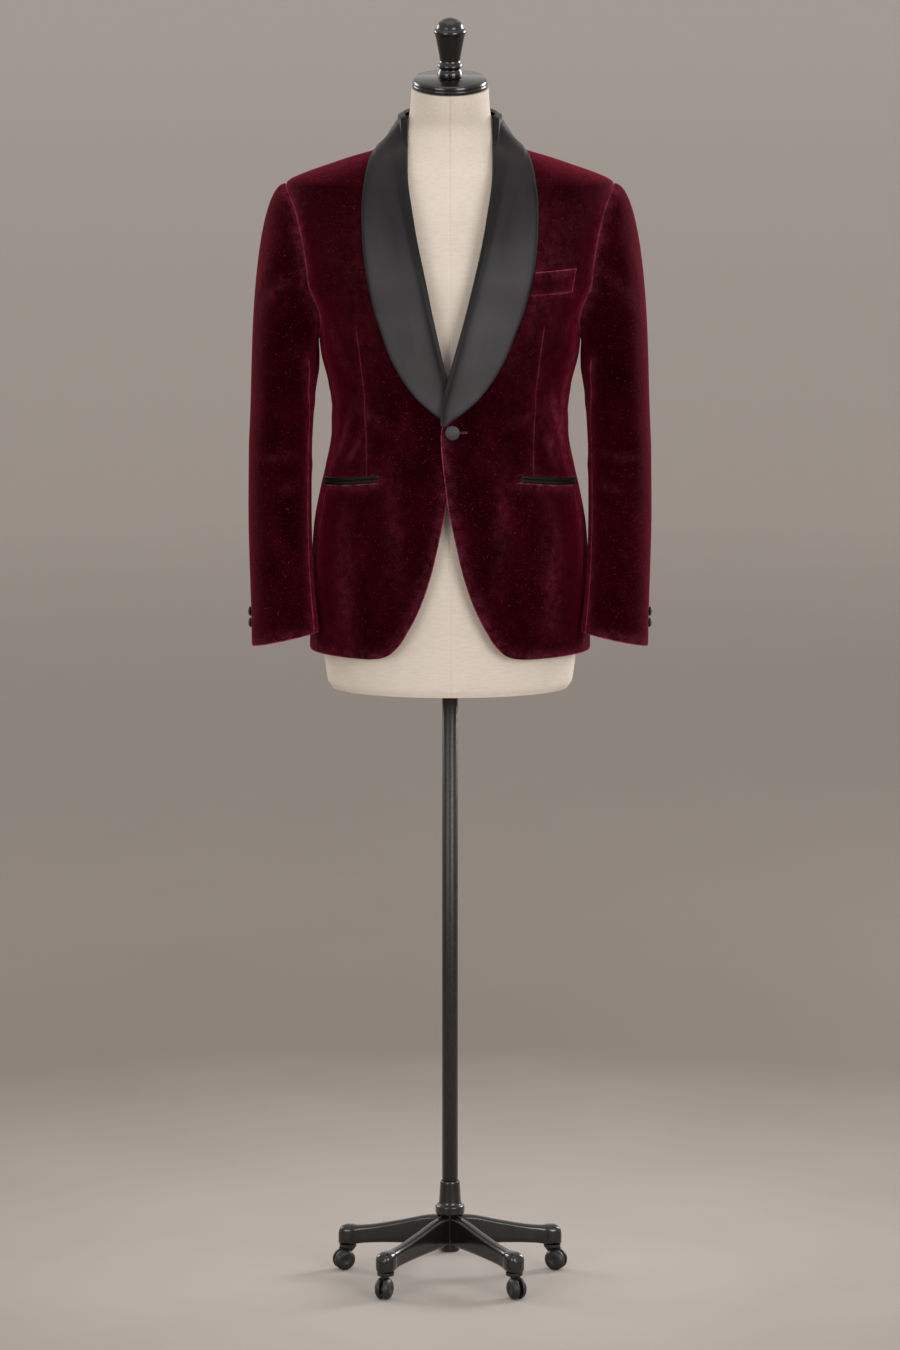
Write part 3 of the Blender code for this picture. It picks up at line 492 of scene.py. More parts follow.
# Kind of sewn line: how deep it sinks, how pale its pile is (worn, and a painted highlight), how
# wide that pale line is, how pale the band beside it is (rubbed, and a painted highlight).
SEWN = {
    "edge": (0.95, 0.62, 1.2, 0.16),
    "seam": (0.7, 0.34, 1.2, 0.12),
    "armhole": (0.45, 0.6, 1.3, 0.2),
    "dart": (0.7, 0.17, 1.1, 0.04),
    "pocket": (0.5, 0.6, 1.2, 0.14),
    "satin": (0.95, 0.0, 1.0, 0.0),
}
# Width of the pale band beside a sewn line, and share of a ridge's height that turns pale: rubbed pile and
# painted highlight.
RUB_AND_HIGHLIGHT_WIDTH = 11.0
CREASE_RUB_AND_HIGHLIGHT = 0.06
MILLIMETRES_PER_DEGREE = 2.9

EDGE_SHARES = np.array([0, 0.004, 0.009, 0.016, 0.026, 0.04])


def edge_shares(count):
    """Shares from 0 to 1 that crowd towards both ends, where the sewn edges are."""
    middle = np.linspace(0.06, 0.94, count)
    return np.concatenate([EDGE_SHARES, middle, 1 - EDGE_SHARES[::-1]])


def distance_to(points, line):
    """Least distance from each point to the points of a line."""
    flat = points.reshape(-1, 3)
    line = np.asarray(line).reshape(-1, 3)
    squares = (flat**2).sum(1)[:, None] + (line**2).sum(1)[None, :] - 2 * flat @ line.T
    return np.sqrt(np.maximum(squares.min(axis=1), 0)).reshape(points.shape[:-1])


def creases(table, across, height, millimetres):
    """Sum of ridges: size times a bell along and a bell across each one."""
    total = np.zeros(np.shape(across))
    for at, level, direction, long, wide, size in table:
        u = (across - at) * millimetres
        v = height - level
        turn = math.radians(direction)
        along = u * math.cos(turn) + v * math.sin(turn)
        over = -u * math.sin(turn) + v * math.cos(turn)
        total = total + size * np.exp(-((along / long) ** 2) - (over / wide) ** 2)
    return total


def sewn(points, normals, lines):
    """Points sunk along the sewn lines, and the pale pile with its painted highlight on and beside them, by
    kind.
    """
    dips = []
    pale_lines = []
    pale_bands = []
    for kind, line in lines:
        sink, worn_and_lit, width, rubbed_and_lit = SEWN[kind]
        near = distance_to(points, line)
        dips.append(sink * np.exp(-((near / SEAM_SOFT) ** 2)))
        pale_lines.append(worn_and_lit * np.exp(-((near / width) ** 2)))
        pale_bands.append(rubbed_and_lit * np.exp(-((near / RUB_AND_HIGHLIGHT_WIDTH) ** 2)))
    wear_and_light = {"nap_and_highlight": np.max(pale_lines, axis=0), "rub_and_highlight": np.max(pale_bands, axis=0)}
    return points - normals * np.max(dips, axis=0)[..., None], wear_and_light


def rub_and_light_ridges(wear_and_light, ridge):
    """Adds pile that rubbing turns pale, with a painted highlight, in proportion to the height of the ridges.
    """
    wear_and_light["rub_and_highlight"] = np.maximum(wear_and_light["rub_and_highlight"], CREASE_RUB_AND_HIGHLIGHT * np.maximum(ridge, 0))


def drawn_in(grid, first, last):
    """Grid whose first and last columns stop half a seam gap short."""
    moved = grid.copy()
    if first:
        moved[:, 0] += unit(grid[:, 1] - grid[:, 0]) * SEAM_GAP / 2
    if last:
        moved[:, -1] += unit(grid[:, -2] - grid[:, -1]) * SEAM_GAP / 2
    return moved


print("kinds of sewn line:", list(SEWN))

# %% [markdown]
# The fronts are the largest panels. The left one laps over the right one and is closed with one
# button. Below the button their edges round away, above it they turn over in the lapels. Each has
# a long dart from the chest to the pocket, so a column of the grid runs along the dart.

# %% Lines of the fronts
NECK_HEIGHT = 1598.0
HEM_HEIGHT = 894.0

# How far a front ends inside the fold, and the heights over which its edge becomes the fold.
ROLL_TURNOVER = 3.5
TURNOVER_STARTS = (1212, 1245)
FOLD_STARTS = (1205, 1222)

# The left front's lap over the right one: how far it stands out, how much more over the lapel,
# and the stretches of x and height over which it comes and goes.
LAP_OUT = 3.4
LAP_OVER_LAPEL = 4.2
LAP_ACROSS = (105, 14)
LAP_STARTS = (1025, 1085)
LAP_RISES = (1130, 1200)
LAP_ENDS = (1400, 1290)

# The line on which the two fronts close: height, x.
CLOSING_LINE = [(880, -4), (1250, -4), (1450, 0), (1700, 0)]

# Edge of the left front below its button: height, x.
FRONT_EDGE = [
    (894, 105),
    (896.6, 87),
    (908.5, 68),
    (936, 49.3),
    (966, 34.2),
    (1015, 17.4),
    (1064, 6.1),
    (1110, -3.3),
    (1140, -6.9),
    (1185, -11.4),
    (1216, -12.5),
]

# Fold of the left lapel from the button to the side of the neck: height, x.
ROLL_LINE = [
    (1210, -10.8),
    (1236, -9.8),
    (1284, 0.7),
    (1394, 30.3),
    (1497, 52.7),
    (1562, 61.1),
    (1632, 60.7),
]

# The dart, with a guide for the grid above and below it: height, x.
DART_LINE = [
    (894, 152),
    (1040, 124),
    (1135, 115),
    (1153, 114.6),
    (1225, 116),
    (1352, 129),
    (1430, 143),
    (1545, 150),
    (1598, 70),
]
DART_ENDS = (1140, 1352)

# The armhole: turn from its top over the front, angle on the jacket, height.
ARMHOLE = [
    (0, 90, 1541),
    (20, 83.5, 1527),
    (45, 79.2, 1501),
    (70, 76.4, 1460),
    (95, 74.3, 1418),
    (115, 74.5, 1389),
    (135, 77, 1360),
    (158, 83.5, 1334),
    (180, 91, 1326),
    (202, 99.5, 1333),
    (222, 107.5, 1358),
    (240, 109.6, 1389),
    (262, 109, 1431),
    (290, 105.8, 1478),
    (315, 101, 1512),
    (340, 95.3, 1532),
    (360, 90, 1541),
]
FRONT_NOTCH = 135.0
BACK_NOTCH = 222.0
SHOULDER_TIP = 1540.5


def on_side(side, x, height):
    """A left front's x, or its mirror on the closing line for the right front (side -1)."""
    return x if side > 0 else 2 * smooth(CLOSING_LINE, 1, height) - x


def lap(side, x, height):
    """How far the left front stands out near the centre, to lie over the right one."""
    if side < 0:
        return 0 * x
    near = ramp(x, *LAP_ACROSS) * ramp(height, *LAP_STARTS) * ramp(height, *LAP_ENDS)
    return near * (LAP_OUT + LAP_OVER_LAPEL * ramp(height, *LAP_RISES))


def panel_point(side, angle, height, out=0.0):
    """Point of a front: the jacket's surface, moved out along its normal by the lap and more."""
    base = body_point(angle, height)
    away = lap(side, base[..., 0], base[..., 2]) + out
    return base + body_normal(angle, height) * away[..., None]


def roll_angle(side, height):
    """Angle of the lapel's fold at a height."""
    return front_angle(on_side(side, smooth(ROLL_LINE, 1, height), height), height)


def front_inner_x(side, height):
    """Inner edge of a front: its free edge up to the button, then just inside the fold."""
    trim = ROLL_TURNOVER * ramp(height, *TURNOVER_STARTS)
    fold = smooth(ROLL_LINE, 1, height) + trim
    edge = smooth(FRONT_EDGE, 1, height)
    x = edge + (fold - edge) * ramp(height, *FOLD_STARTS)
    return on_side(side, x, height)


# %% Rows of the panels
HEM_ROWS = HEM_HEIGHT + np.array([0, 0.4, 1, 1.8, 3, 4.5, 6.5, 9, 12, 15.5, 20, 25, 31, 38])
POCKET_ROWS = np.arange(1121, 1153, 1.25)
SHOULDER_ROWS = np.concatenate([np.linspace(1542.5, 1594, 28), NECK_HEIGHT - np.array([2.4, 1.4, 0.7, 0.15])])


def panel_rows(notch, far):
    """Heights and outer angles of a panel's rows: up the seam, round the armhole, up the shoulder."""
    turns = np.linspace(notch, far, 72)
    arm_heights = smooth(ARMHOLE, 2, turns)
    seam = np.linspace(HEM_ROWS[-1], arm_heights[0], 90)[1:-1]
    seam = seam[(seam < POCKET_ROWS[0]) | (seam > POCKET_ROWS[-1])]
    low = np.sort(np.concatenate([HEM_ROWS, seam, POCKET_ROWS]))
    heights = np.concatenate([low, arm_heights, SHOULDER_ROWS])
    seam_angle = np.full(len(low), smooth(ARMHOLE, 1, notch))
    angles = np.concatenate([seam_angle, smooth(ARMHOLE, 1, turns), np.full(len(SHOULDER_ROWS), 90.0)])
    return heights, angles


# Creases of the body: angle, height, direction, length, width (all millimetres but the angles), size.
FRONT_CREASES = {
    1: [
        (48, 1232, 24, 52, 9, 1.2),
        (40, 1196, -18, 46, 8, -0.9),
        (58, 1290, 58, 48, 9, -1.0),
        (66, 1350, 70, 34, 8, 1.2),
        (65, 1190, 112, 44, 8, 1.7),
        (57, 1214, 122, 36, 7, 1.1),
        (28, 1090, 84, 90, 14, 1.2),
        (54, 1010, 88, 110, 17, 1.6),
        (34, 1470, -40, 40, 12, 0.8),
    ],
    -1: [
        (-46, 1226, 150, 58, 9, 1.6),
        (-38, 1204, 166, 48, 8, -1.1),
        (-52, 1262, 142, 44, 8, -1.1),
        (-60, 1300, 118, 44, 9, 1.2),
        (-67, 1348, 110, 34, 8, 1.2),
        (-66, 1186, 68, 42, 8, 1.7),
        (-56, 1196, 60, 34, 7, 1.1),
        (-30, 1080, 96, 84, 13, 1.2),
        (-56, 1000, 92, 104, 16, 1.6),
        (-33, 1476, 222, 38, 12, 0.8),
    ],
}
# Painted light of the fronts, laid on as open pile: broad patches where the chest faces the light
# above, narrow highlights at the sides and the waist; same columns, with the share of open pile last.
FRONT_PAINTED_LIGHT = {
    1: [
        (67, 1224, 112, 34, 10, 0.3),
        (61, 1188, 104, 30, 8, 0.2),
        (74, 1236, 90, 110, 12, 0.24),
        (40, 1430, 90, 120, 62, 0.1),
    ],
    -1: [
        (-67, 1196, 64, 40, 8, 0.2),
        (-58, 1180, 56, 28, 7, 0.14),
        (-74, 1236, 90, 100, 9, 0.12),
        (-40, 1430, 90, 120, 62, 0.05),
    ],
}
SIDE_CREASES = {
    1: [(92, 1230, 8, 40, 9, -1.1), (90, 1256, -6, 44, 9, 1.0), (88, 1030, 88, 110, 15, 1.2)],
    -1: [(-92, 1234, 172, 40, 9, -1.1), (-90, 1260, 186, 44, 9, 1.0), (-88, 1036, 92, 104, 15, 1.2)],
}
BACK_CREASES = {
    1: [
        (128, 1220, 12, 60, 10, -1.3),
        (132, 1250, 5, 66, 11, 1.2),
        (150, 1185, -8, 48, 10, 0.9),
        (120, 1440, 78, 62, 12, 1.5),
        (160, 1545, 4, 60, 10, -0.9),
        (140, 1030, 86, 110, 20, 1.7),
    ],
    -1: [
        (-127, 1226, 168, 64, 10, -1.3),
        (-133, 1257, 174, 60, 11, 1.1),
        (-152, 1190, 187, 50, 10, 0.9),
        (-121, 1432, 102, 64, 12, 1.5),
        (-161, 1548, 176, 56, 10, -0.8),
        (-142, 1020, 93, 104, 19, 1.6),
    ],
}
front_heights, front_outer = panel_rows(FRONT_NOTCH, 0.0)
print("rows of a front:", len(front_heights))

# %% Hip pockets and breast pocket: where they lie on the fronts
JET_INNER = (98.0, 1144.4)
JET_OUTER = (173.0, 1132.4)
JET_REACH = 5.0
SLIT_MARGIN = 0.6
WELT_LOW = (1396.5, 0.049, 109.3)
WELT_HIGH = (1428.0, 0.045, 115.1)
WELT_OUTER = 166.3
WELT_LEAN = 5.7
TRIM_WALL = 1.3
CROWDING = 1.3


def crowded(share):
    """Shares that crowd towards 1, where the jacket curves away: sin(c share) / sin(c)."""
    return np.sin(CROWDING * share) / math.sin(CROWDING)


def jet_line(side, level, count=40):
    """Line of points on a front along a hip pocket, a level above or below its middle."""
    share = crowded(np.linspace(0, 1, count))
    x = JET_INNER[0] + (JET_OUTER[0] - JET_INNER[0]) * share
    height = JET_INNER[1] + (JET_OUTER[1] - JET_INNER[1]) * share + level
    return panel_point(side, front_angle(side * x, height), height)


def welt_line(level, count=40):
    """Line of points on the left front along the lower (0) or upper (1) edge of the breast welt."""
    x = np.linspace(WELT_LOW[2], WELT_OUTER + WELT_LEAN * level, count)
    low = WELT_LOW[0] + WELT_LOW[1] * (x - WELT_LOW[2])
    high = WELT_HIGH[0] + WELT_HIGH[1] * (x - WELT_HIGH[2])
    height = low + (high - low) * level
    return panel_point(1, front_angle(x, height), height)


# %% The fronts
WORDS = {1: "left", -1: "right"}
fronts = {}


def make_front(side):
    """Grid from the inner edge over the dart to the side seam and armhole, up from the hem."""
    heights, outer_angle = front_heights, front_outer
    inner_angle = front_angle(front_inner_x(side, heights), heights)
    dart_angle = front_angle(side * smooth(DART_LINE, 1, heights), heights)
    first = edge_shares(12)
    second = edge_shares(15)
    inner_part = inner_angle[:, None] + (dart_angle - inner_angle)[:, None] * first
    outer_part = dart_angle[:, None] + (side * outer_angle - dart_angle)[:, None] * second
    angles = np.concatenate([inner_part, outer_part[:, 1:]], axis=1)
    rows = np.repeat(heights[:, None], angles.shape[1], axis=1)
    ridge = creases(FRONT_CREASES[side], angles, rows, MILLIMETRES_PER_DEGREE)
    flat = panel_point(side, angles, rows)
    normals = body_normal(angles, rows)
    full = panel_point(side, angles, rows, ridge)
    on_dart = (heights > DART_ENDS[0]) & (heights < DART_ENDS[1])
    at_seam = (heights < smooth(ARMHOLE, 2, FRONT_NOTCH)) | (heights > SHOULDER_TIP)
    lines = [("edge", full[:, 0]), ("edge", full[0]), ("seam", full[-1])]
    lines += [("dart", full[on_dart, len(first) - 1])]
    lines += [("seam", full[at_seam, -1]), ("armhole", full[~at_seam, -1])]
    lines += [("dart", jet_line(side, JET_REACH + SLIT_MARGIN))]
    lines += [("pocket", jet_line(side, -JET_REACH - SLIT_MARGIN))]
    if side > 0:
        lines += [("pocket", welt_line(0.0))]
    outer, wear_and_light = sewn(full, normals, lines)
    rub_and_light_ridges(wear_and_light, ridge)
    # Painted light: highlights on the chest, the sides and the waist.
    rubbed_and_lit = creases(FRONT_PAINTED_LIGHT[side], angles, rows, MILLIMETRES_PER_DEGREE)
    wear_and_light["rub_and_highlight"] = np.maximum(wear_and_light["rub_and_highlight"], rubbed_and_lit)
    outer[at_seam] = drawn_in(outer[at_seam], False, True)
    piece = add_cloth(
        f"{WORDS[side]}_front_cloth", outer, flat - normals * CLOTH, [velvet, lining],
        f"front_{WORDS[side]}", wear_and_light,
    )
    return piece, outer


for side in (1, -1):
    fronts[side] = make_front(side)
    print(fronts[side][0].name, "points:", len(fronts[side][0].data.vertices))

# %% [markdown]
# A narrow side panel under each arm joins the front to the back. The two backs meet in a seam
# down the middle, with no vent. They are made like the fronts, from angles and heights.

# %% Sides and backs
SEAM_FADE = (180, 172)
SIDE_HEIGHT = 480.0


def make_side(side):
    """Grid from the front seam to the back seam, from the hem up to the foot of the armhole."""
    turns = FRONT_NOTCH + (BACK_NOTCH - FRONT_NOTCH) * edge_shares(10)
    top = smooth(ARMHOLE, 2, turns)
    near_hem = (HEM_ROWS - HEM_HEIGHT) / SIDE_HEIGHT
    share = np.concatenate([near_hem, np.linspace(0.09, 0.985, 80), [0.992, 0.996, 0.999, 1]])
    rows = HEM_HEIGHT + (top - HEM_HEIGHT)[None, :] * share[:, None]
    angles = np.repeat(side * smooth(ARMHOLE, 1, turns)[None, :], len(share), axis=0)
    ridge = creases(SIDE_CREASES[side], angles, rows, MILLIMETRES_PER_DEGREE)
    normals = body_normal(angles, rows)
    full = body_point(angles, rows) + normals * ridge[..., None]
    lines = [("seam", full[:, 0]), ("seam", full[:, -1]), ("edge", full[0]), ("armhole", full[-1])]
    outer, wear_and_light = sewn(full, normals, lines)
    rub_and_light_ridges(wear_and_light, ridge)
    outer = drawn_in(outer, True, True)
    inner = body_point(angles, rows) - normals * CLOTH
    name = f"{WORDS[side]}_side_cloth"
    piece = add_cloth(name, outer, inner, [velvet, lining], f"side_{WORDS[side]}", wear_and_light)
    declare_cloth(piece, outer)


def make_back(side):
    """Grid from the side seam and armhole to the centre back, from the hem up to the neck."""
    heights, outer_angle = panel_rows(BACK_NOTCH, 360.0)
    share = edge_shares(26)
    angles = side * (outer_angle[:, None] + (180 - outer_angle)[:, None] * share)
    rows = np.repeat(heights[:, None], len(share), axis=1)
    ridge = creases(BACK_CREASES[side], angles, rows, MILLIMETRES_PER_DEGREE)
    ridge = ridge * ramp(np.abs(angles), *SEAM_FADE)
    normals = body_normal(angles, rows)
    full = body_point(angles, rows) + normals * ridge[..., None]
    at_seam = (heights < smooth(ARMHOLE, 2, BACK_NOTCH)) | (heights > SHOULDER_TIP)
    lines = [("seam", full[at_seam, 0]), ("armhole", full[~at_seam, 0]), ("seam", full[:, -1])]
    outer, wear_and_light = sewn(full, normals, lines + [("edge", full[0]), ("seam", full[-1])])
    rub_and_light_ridges(wear_and_light, ridge)
    outer[at_seam] = drawn_in(outer[at_seam], True, False)
    outer = drawn_in(outer, False, True)
    inner = body_point(angles, rows) - normals * CLOTH
    name = f"{WORDS[side]}_back_cloth"
    piece = add_cloth(name, outer, inner, [velvet, lining], f"back_{WORDS[side]}", wear_and_light)
    declare_cloth(piece, outer)


for side in (1, -1):
    make_side(side)
    make_back(side)

# %% [markdown]
# A tailored sleeve has two pieces: a wide top sleeve and a narrow under sleeve. Its head is eased
# into the armhole, so it stands out at the seam and then falls. A cubic curve from the armhole to
# a ring makes the head, and rings that lean forward make the arm.

# %% Shape of the sleeve
# Height, centre x, half width, centre y, half depth.
SLEEVE = [
    (900, 226.5, 47, -56, 45),
    (928, 227.5, 46.5, -50, 45),
    (965, 230, 45, -40, 46.5),
    (1017, 233.2, 43.8, -26, 48),
    (1094, 235.2, 43.8, -5, 52),
    (1170, 234.7, 43.8, 7, 56),
    (1216, 232.7, 44, 8.5, 58),
    (1247, 230.9, 44.6, 8, 60),
    (1272, 228.7, 46.1, 7.3, 61.4),
    (1287, 227.3, 47, 6.6, 62.3),
    (1300, 226.95, 46.95, 6, 63),
]
SLEEVE_RING = 1300.0
RING_STEP = 15.0

# Turn, how far the head stands out at the seam, how far its lower handle rises.
SLEEVE_HEAD = [
    (0, 18, 199),
    (45, 15, 150),
    (90, 11, 90),
    (135, 7, 36),
    (180, 2, 13),
    (225, 7, 36),
    (270, 11, 85),
    (315, 15, 150),
    (360, 18, 199),
]

# Share of the way down, turn of the front seam, turn of the back seam.
SLEEVE_SEAMS = [(0, 135, 276), (0.12, 144, 280), (0.22, 155, 283), (0.72, 155, 318), (1.0, 152, 344)]
SLEEVE_MILLIMETRES = 0.85

# Creases of a sleeve: turn, height, direction, length, width, size.
SLEEVE_CREASES = [
    (95, 1186, 14, 26, 8, -1.6),
    (88, 1168, 8, 30, 8, 1.3),
    (70, 1150, -10, 26, 8, -1.2),
    (120, 1128, 16, 24, 8, 1.2),
    (60, 1395, 58, 46, 9, 1.3),
    (28, 1420, 80, 52, 11, 1.0),
    (110, 1330, 40, 38, 9, -1.5),
    (80, 1030, -12, 30, 9, -0.9),
    (300, 1200, -14, 40, 9, 1.3),
    (285, 1170, 6, 36, 9, -1.3),
    (320, 1420, 104, 56, 11, 1.2),
    (250, 1330, 146, 38, 9, -1.3),
    (200, 1240, 10, 34, 9, 1.0),
    (190, 1150, -8, 34, 9, 1.0),
]
CUFF_HEIGHT = 916.5
CUFF_DROP = 9.5
CUFF_RISE = 2.5


def sleeve_hem(turn):
    """Height of the cuff's edge: a drop times the cosine of the turn, a rise times its sine."""
    return CUFF_HEIGHT - CUFF_DROP * np.cos(turn) + CUFF_RISE * np.sin(turn)


def sleeve_ring(side, turn, height):
    """Ellipse of the hanging sleeve at a turn (0 outside, 90 degrees front) and height."""
    x = smooth(SLEEVE, 1, height) + smooth(SLEEVE, 2, height) * np.cos(turn)
    y = smooth(SLEEVE, 3, height) - smooth(SLEEVE, 4, height) * np.sin(turn)
    return np.stack([side * x, y, height + 0 * turn], axis=-1)


def armhole_point(side, turns):
    """Point of the armhole's line at a turn in degrees."""
    turns = np.mod(turns, 360)
    return body_point(side * smooth(ARMHOLE, 1, turns), smooth(ARMHOLE, 2, turns))


def sleeve_head(side, turns, shares):
    """Cubic curves from the armhole, out along its normal and down to the ring."""
    around = np.mod(turns, 360)
    seam = armhole_point(side, turns)
    normal = body_normal(side * smooth(ARMHOLE, 1, around), smooth(ARMHOLE, 2, around))
    along = unit(armhole_point(side, turns + 1) - armhole_point(side, turns - 1))
    inward = unit(np.cross(normal, along))
    centre = armhole_point(side, np.arange(0.0, 360.0, 5.0)).mean(axis=0)
    inward = inward * np.sign(((centre - seam) * inward).sum(axis=1, keepdims=True))
    first = seam + inward * SEAM_GAP
    second = first + normal * smooth(SLEEVE_HEAD, 1, around)[:, None]
    ring = sleeve_ring(side, np.radians(turns), SLEEVE_RING)
    below = sleeve_ring(side, np.radians(turns), SLEEVE_RING - RING_STEP)
    third = ring + unit(ring - below) * smooth(SLEEVE_HEAD, 2, around)[:, None]
    t = shares[:, None, None]
    return first * (1 - t) ** 3 + second * 3 * t * (1 - t) ** 2 + third * 3 * t**2 * (1 - t) + ring * t**3


def sleeve_turns(share, top, downs):
    """Turn of each column on each row, between the two long seams of the piece."""
    front = smooth(SLEEVE_SEAMS, 1, downs)[:, None]
    back = smooth(SLEEVE_SEAMS, 2, downs)[:, None]
    return back + share * (front + 360 - back) if top else front + share * (back - front)


# %% The sleeves
HEAD_SHARES = np.concatenate([[0, 0.006, 0.013, 0.022, 0.034, 0.05], np.linspace(0.07, 0.985, 40)])
CUFF_SHARES = np.array([36, 28, 21, 15, 10, 6.5, 4, 2.4, 1.2, 0.5, 0]) / 900
ARM_SHARES = np.concatenate([np.linspace(0, 0.955, 76), 1 - CUFF_SHARES])
# Rows and share of the width beside the seams that have no creases, rows until seams sink fully.
PLAIN_ROWS = 12
PLAIN_SHARE = 0.06
SUNK_ROWS = 8


def make_sleeve(side, top):
    """Grid from one long seam to the other: the head's cubic curves, then rings down to the cuff."""
    share = edge_shares(44 if top else 32)
    turns = sleeve_turns(share, top, np.zeros(1))[0]
    head = sleeve_head(side, turns, HEAD_SHARES)
    arm_turns = np.radians(sleeve_turns(share, top, ARM_SHARES))
    arm_heights = SLEEVE_RING + (sleeve_hem(arm_turns) - SLEEVE_RING) * ARM_SHARES[:, None]
    flat = np.concatenate([head, sleeve_ring(side, arm_turns, arm_heights)])
    normals = unit(np.cross(np.gradient(flat, axis=1), np.gradient(flat, axis=0))) * side
    degrees = np.concatenate([np.repeat(turns[None, :], len(head), axis=0), np.degrees(arm_turns)])
    ridge = creases(SLEEVE_CREASES, np.mod(degrees, 360), flat[..., 2], SLEEVE_MILLIMETRES)
    ridge = ridge * ramp(np.arange(len(flat)), 0, PLAIN_ROWS)[:, None]
    ridge = ridge * np.minimum(ramp(share, 0, PLAIN_SHARE), ramp(share, 1, 1 - PLAIN_SHARE))
    full = flat + normals * ridge[..., None]
    arm = full[len(head):]
    hind, fore = (full[:, 0], arm[:, -1]) if top else (full[:, -1], arm[:, 0])
    lines = [("armhole", full[0]), ("edge", hind), ("edge", fore), ("edge", full[-1])]
    outer, wear_and_light = sewn(full, normals, lines)
    rub_and_light_ridges(wear_and_light, ridge)
    outer = full + (outer - full) * ramp(np.arange(len(full)), 0, SUNK_ROWS)[:, None, None]
    outer = drawn_in(outer, True, True)
    kind = "top" if top else "under"
    name = f"{WORDS[side]}_{kind}_sleeve_cloth"
    node = f"{kind}_sleeve_{WORDS[side]}"
    piece = add_cloth(name, outer, flat - normals * CLOTH, [velvet, lining], node, wear_and_light)
    declare_cloth(piece, outer)


for side in (1, -1):
    make_sleeve(side, True)
    make_sleeve(side, False)

# %% [markdown]
# The shawl collar is satin: smooth warp threads lie on top, so it shines in long soft streaks and
# is still dark straight on. The streaks vary its roughness and are also painted into its tone as a
# sheen. The weave is far finer than a pixel, so it is bump along the cloth's own coordinates, and
# slow noise bends the shine a little. Towards the shoulder the cloth tilts back and mirrors the dark
# above, so a painted reflection deepens its tone with height, and painted shade deepens it beside
# the fold and the edge too, where the cloth turns away.

# %% Satin
SATIN_DEEP = colour(19, 18, 19)
SATIN_PALE = colour(62, 61, 62)
# Heights over which a painted reflection deepens the tone, and how far painted shade deepens it where the
# cloth turns away.
SATIN_PAINTED_REFLECTION = (1.29, 1.57)
TURNED_PAINTED_SHADE = 0.6


def make_satin(name, deep, pale, gloss, sheen):
    """Tone and roughness from fine threads and long streaks, the streaks a painted sheen; painted reflection
    deepens the tone with height, painted shade where the cloth turns away.
    """
    material, tree, shader = new_material(name)
    place = own_uv(tree)
    threads = noise(tree, stretched(tree, place, (5200.0, 260.0, 1.0)), 1.0, 2.0)
    ripples = noise(tree, stretched(tree, place, (30.0, 6.0, 1.0)), 1.0, 2.0)
    streaks = between(tree, ripples, 0.0, 1.0, 0.3, 0.7)
    share = weighted(tree, (threads, 0.35), (streaks, 0.65))
    axes = tree.nodes.new("ShaderNodeSeparateXYZ")
    tree.links.new(object_coordinates(tree), axes.inputs["Vector"])
    # Painted reflection: the tone deepens with height. Painted shade where the piece is turned away.
    lower = between(tree, axes.outputs["Z"], 1.0, 0.0, *SATIN_PAINTED_REFLECTION)
    tone = weighted(tree, (share, 0.3), (lower, 0.7), (own_number(tree, "turned"), -TURNED_PAINTED_SHADE))
    tree.links.new(colour_steps(tree, tone, [(0.12, deep), (0.88, pale)]), shader.inputs["Base Color"])
    tree.links.new(between(tree, share, 0.4, 0.56), shader.inputs["Roughness"])
    shader.inputs["Specular IOR Level"].default_value = gloss
    shader.inputs["Anisotropic"].default_value = 0.35
    shader.inputs["Sheen Weight"].default_value = sheen
    shader.inputs["Sheen Roughness"].default_value = 0.4
    bump(tree, shader, share, 0.0008, 0.35)
    return material


satin = make_satin("black_satin", SATIN_DEEP, SATIN_PALE, 0.16, 0.03)
piping = make_satin("piping_satin", colour(6, 5, 6), colour(14, 13, 14), 0.12, 0.0)
print("finishes:", satin.name, piping.name)

# %% [markdown]
# The collar is one leaf of satin a side. It comes out of the jacket at the fold, turns over and
# lies on the front, then climbs over the shoulder and meets its twin at the centre back. A row of
# the grid runs from inside the fold to the free edge: a small turn, then a leaf that lies on the
# panel's own points, moved out.

# %% Lines of the collar
# Free edge of the left lapel: height, x, and how much higher the fold is on the same row.
SHAWL_EDGE = [
    (1217, -7.6, 0),
    (1227, 2.5, 0),
    (1236, 14.6, 0),
    (1258, 38.8, 0),
    (1309, 73.4, 0),
    (1343, 88, 0),
    (1383, 103, 0),
    (1431, 114.2, 0),
    (1475, 119.2, 0),
    (1514, 120.2, 4),
    (1549, 116.4, 14),
    (1574, 110.4, 26),
    (1588.5, 102.5, 41.5),
]

# Share of the way to the centre back, angle and height of the fold, angle and height of the edge.
COLLAR = [
    (0.0, 74.5, 1630, 90, 1588.5),
    (0.3, 105, 1635, 114, 1589.5),
    (0.65, 144, 1638.5, 147, 1591.5),
    (1.0, 180, 1640, 180, 1592),
]

# Distance beyond the fold, height above the panel, distance beyond where the collar still lies flat.
TURNOVER = np.array([(0.6, -2.4, 2.2), (3.0, -1.6, 1.6), (3.8, 1.4, 1.0), (2.0, 5.4, 0.4)])

# The leaf swells beside the fold: how much, how wide, from which widths of leaf, and how the right
# one, which lies under the lap, grows to its full swell.
ROLL_PUFF = 3.8
PUFF_REACH = 22.0
PUFF_WIDTHS = (4, 60)
RIGHT_PUFF = 0.12
RIGHT_PUFF_GROWS = (1262, 1330)

# Over the shoulder the leaf is lifted a little, leaves the panel in a bridge and turns over slimmer.
SHOULDER_LIFT = 0.9
LIFT_STARTS = (1500, 1560)
BRIDGE_STARTS = (1545, 1606)
BRIDGE_CLEAR = 3.0
BRIDGE_BOW = 2.0
FOLD_SLIMMING = 0.45
PUFF_SLIMMING = 0.75
TURN_STARTS = (1236, 1275)
COLLAR_TIP = 1220.5
TIP_LENGTH = 30.0
COLLAR_SHOULDER = 1588.5


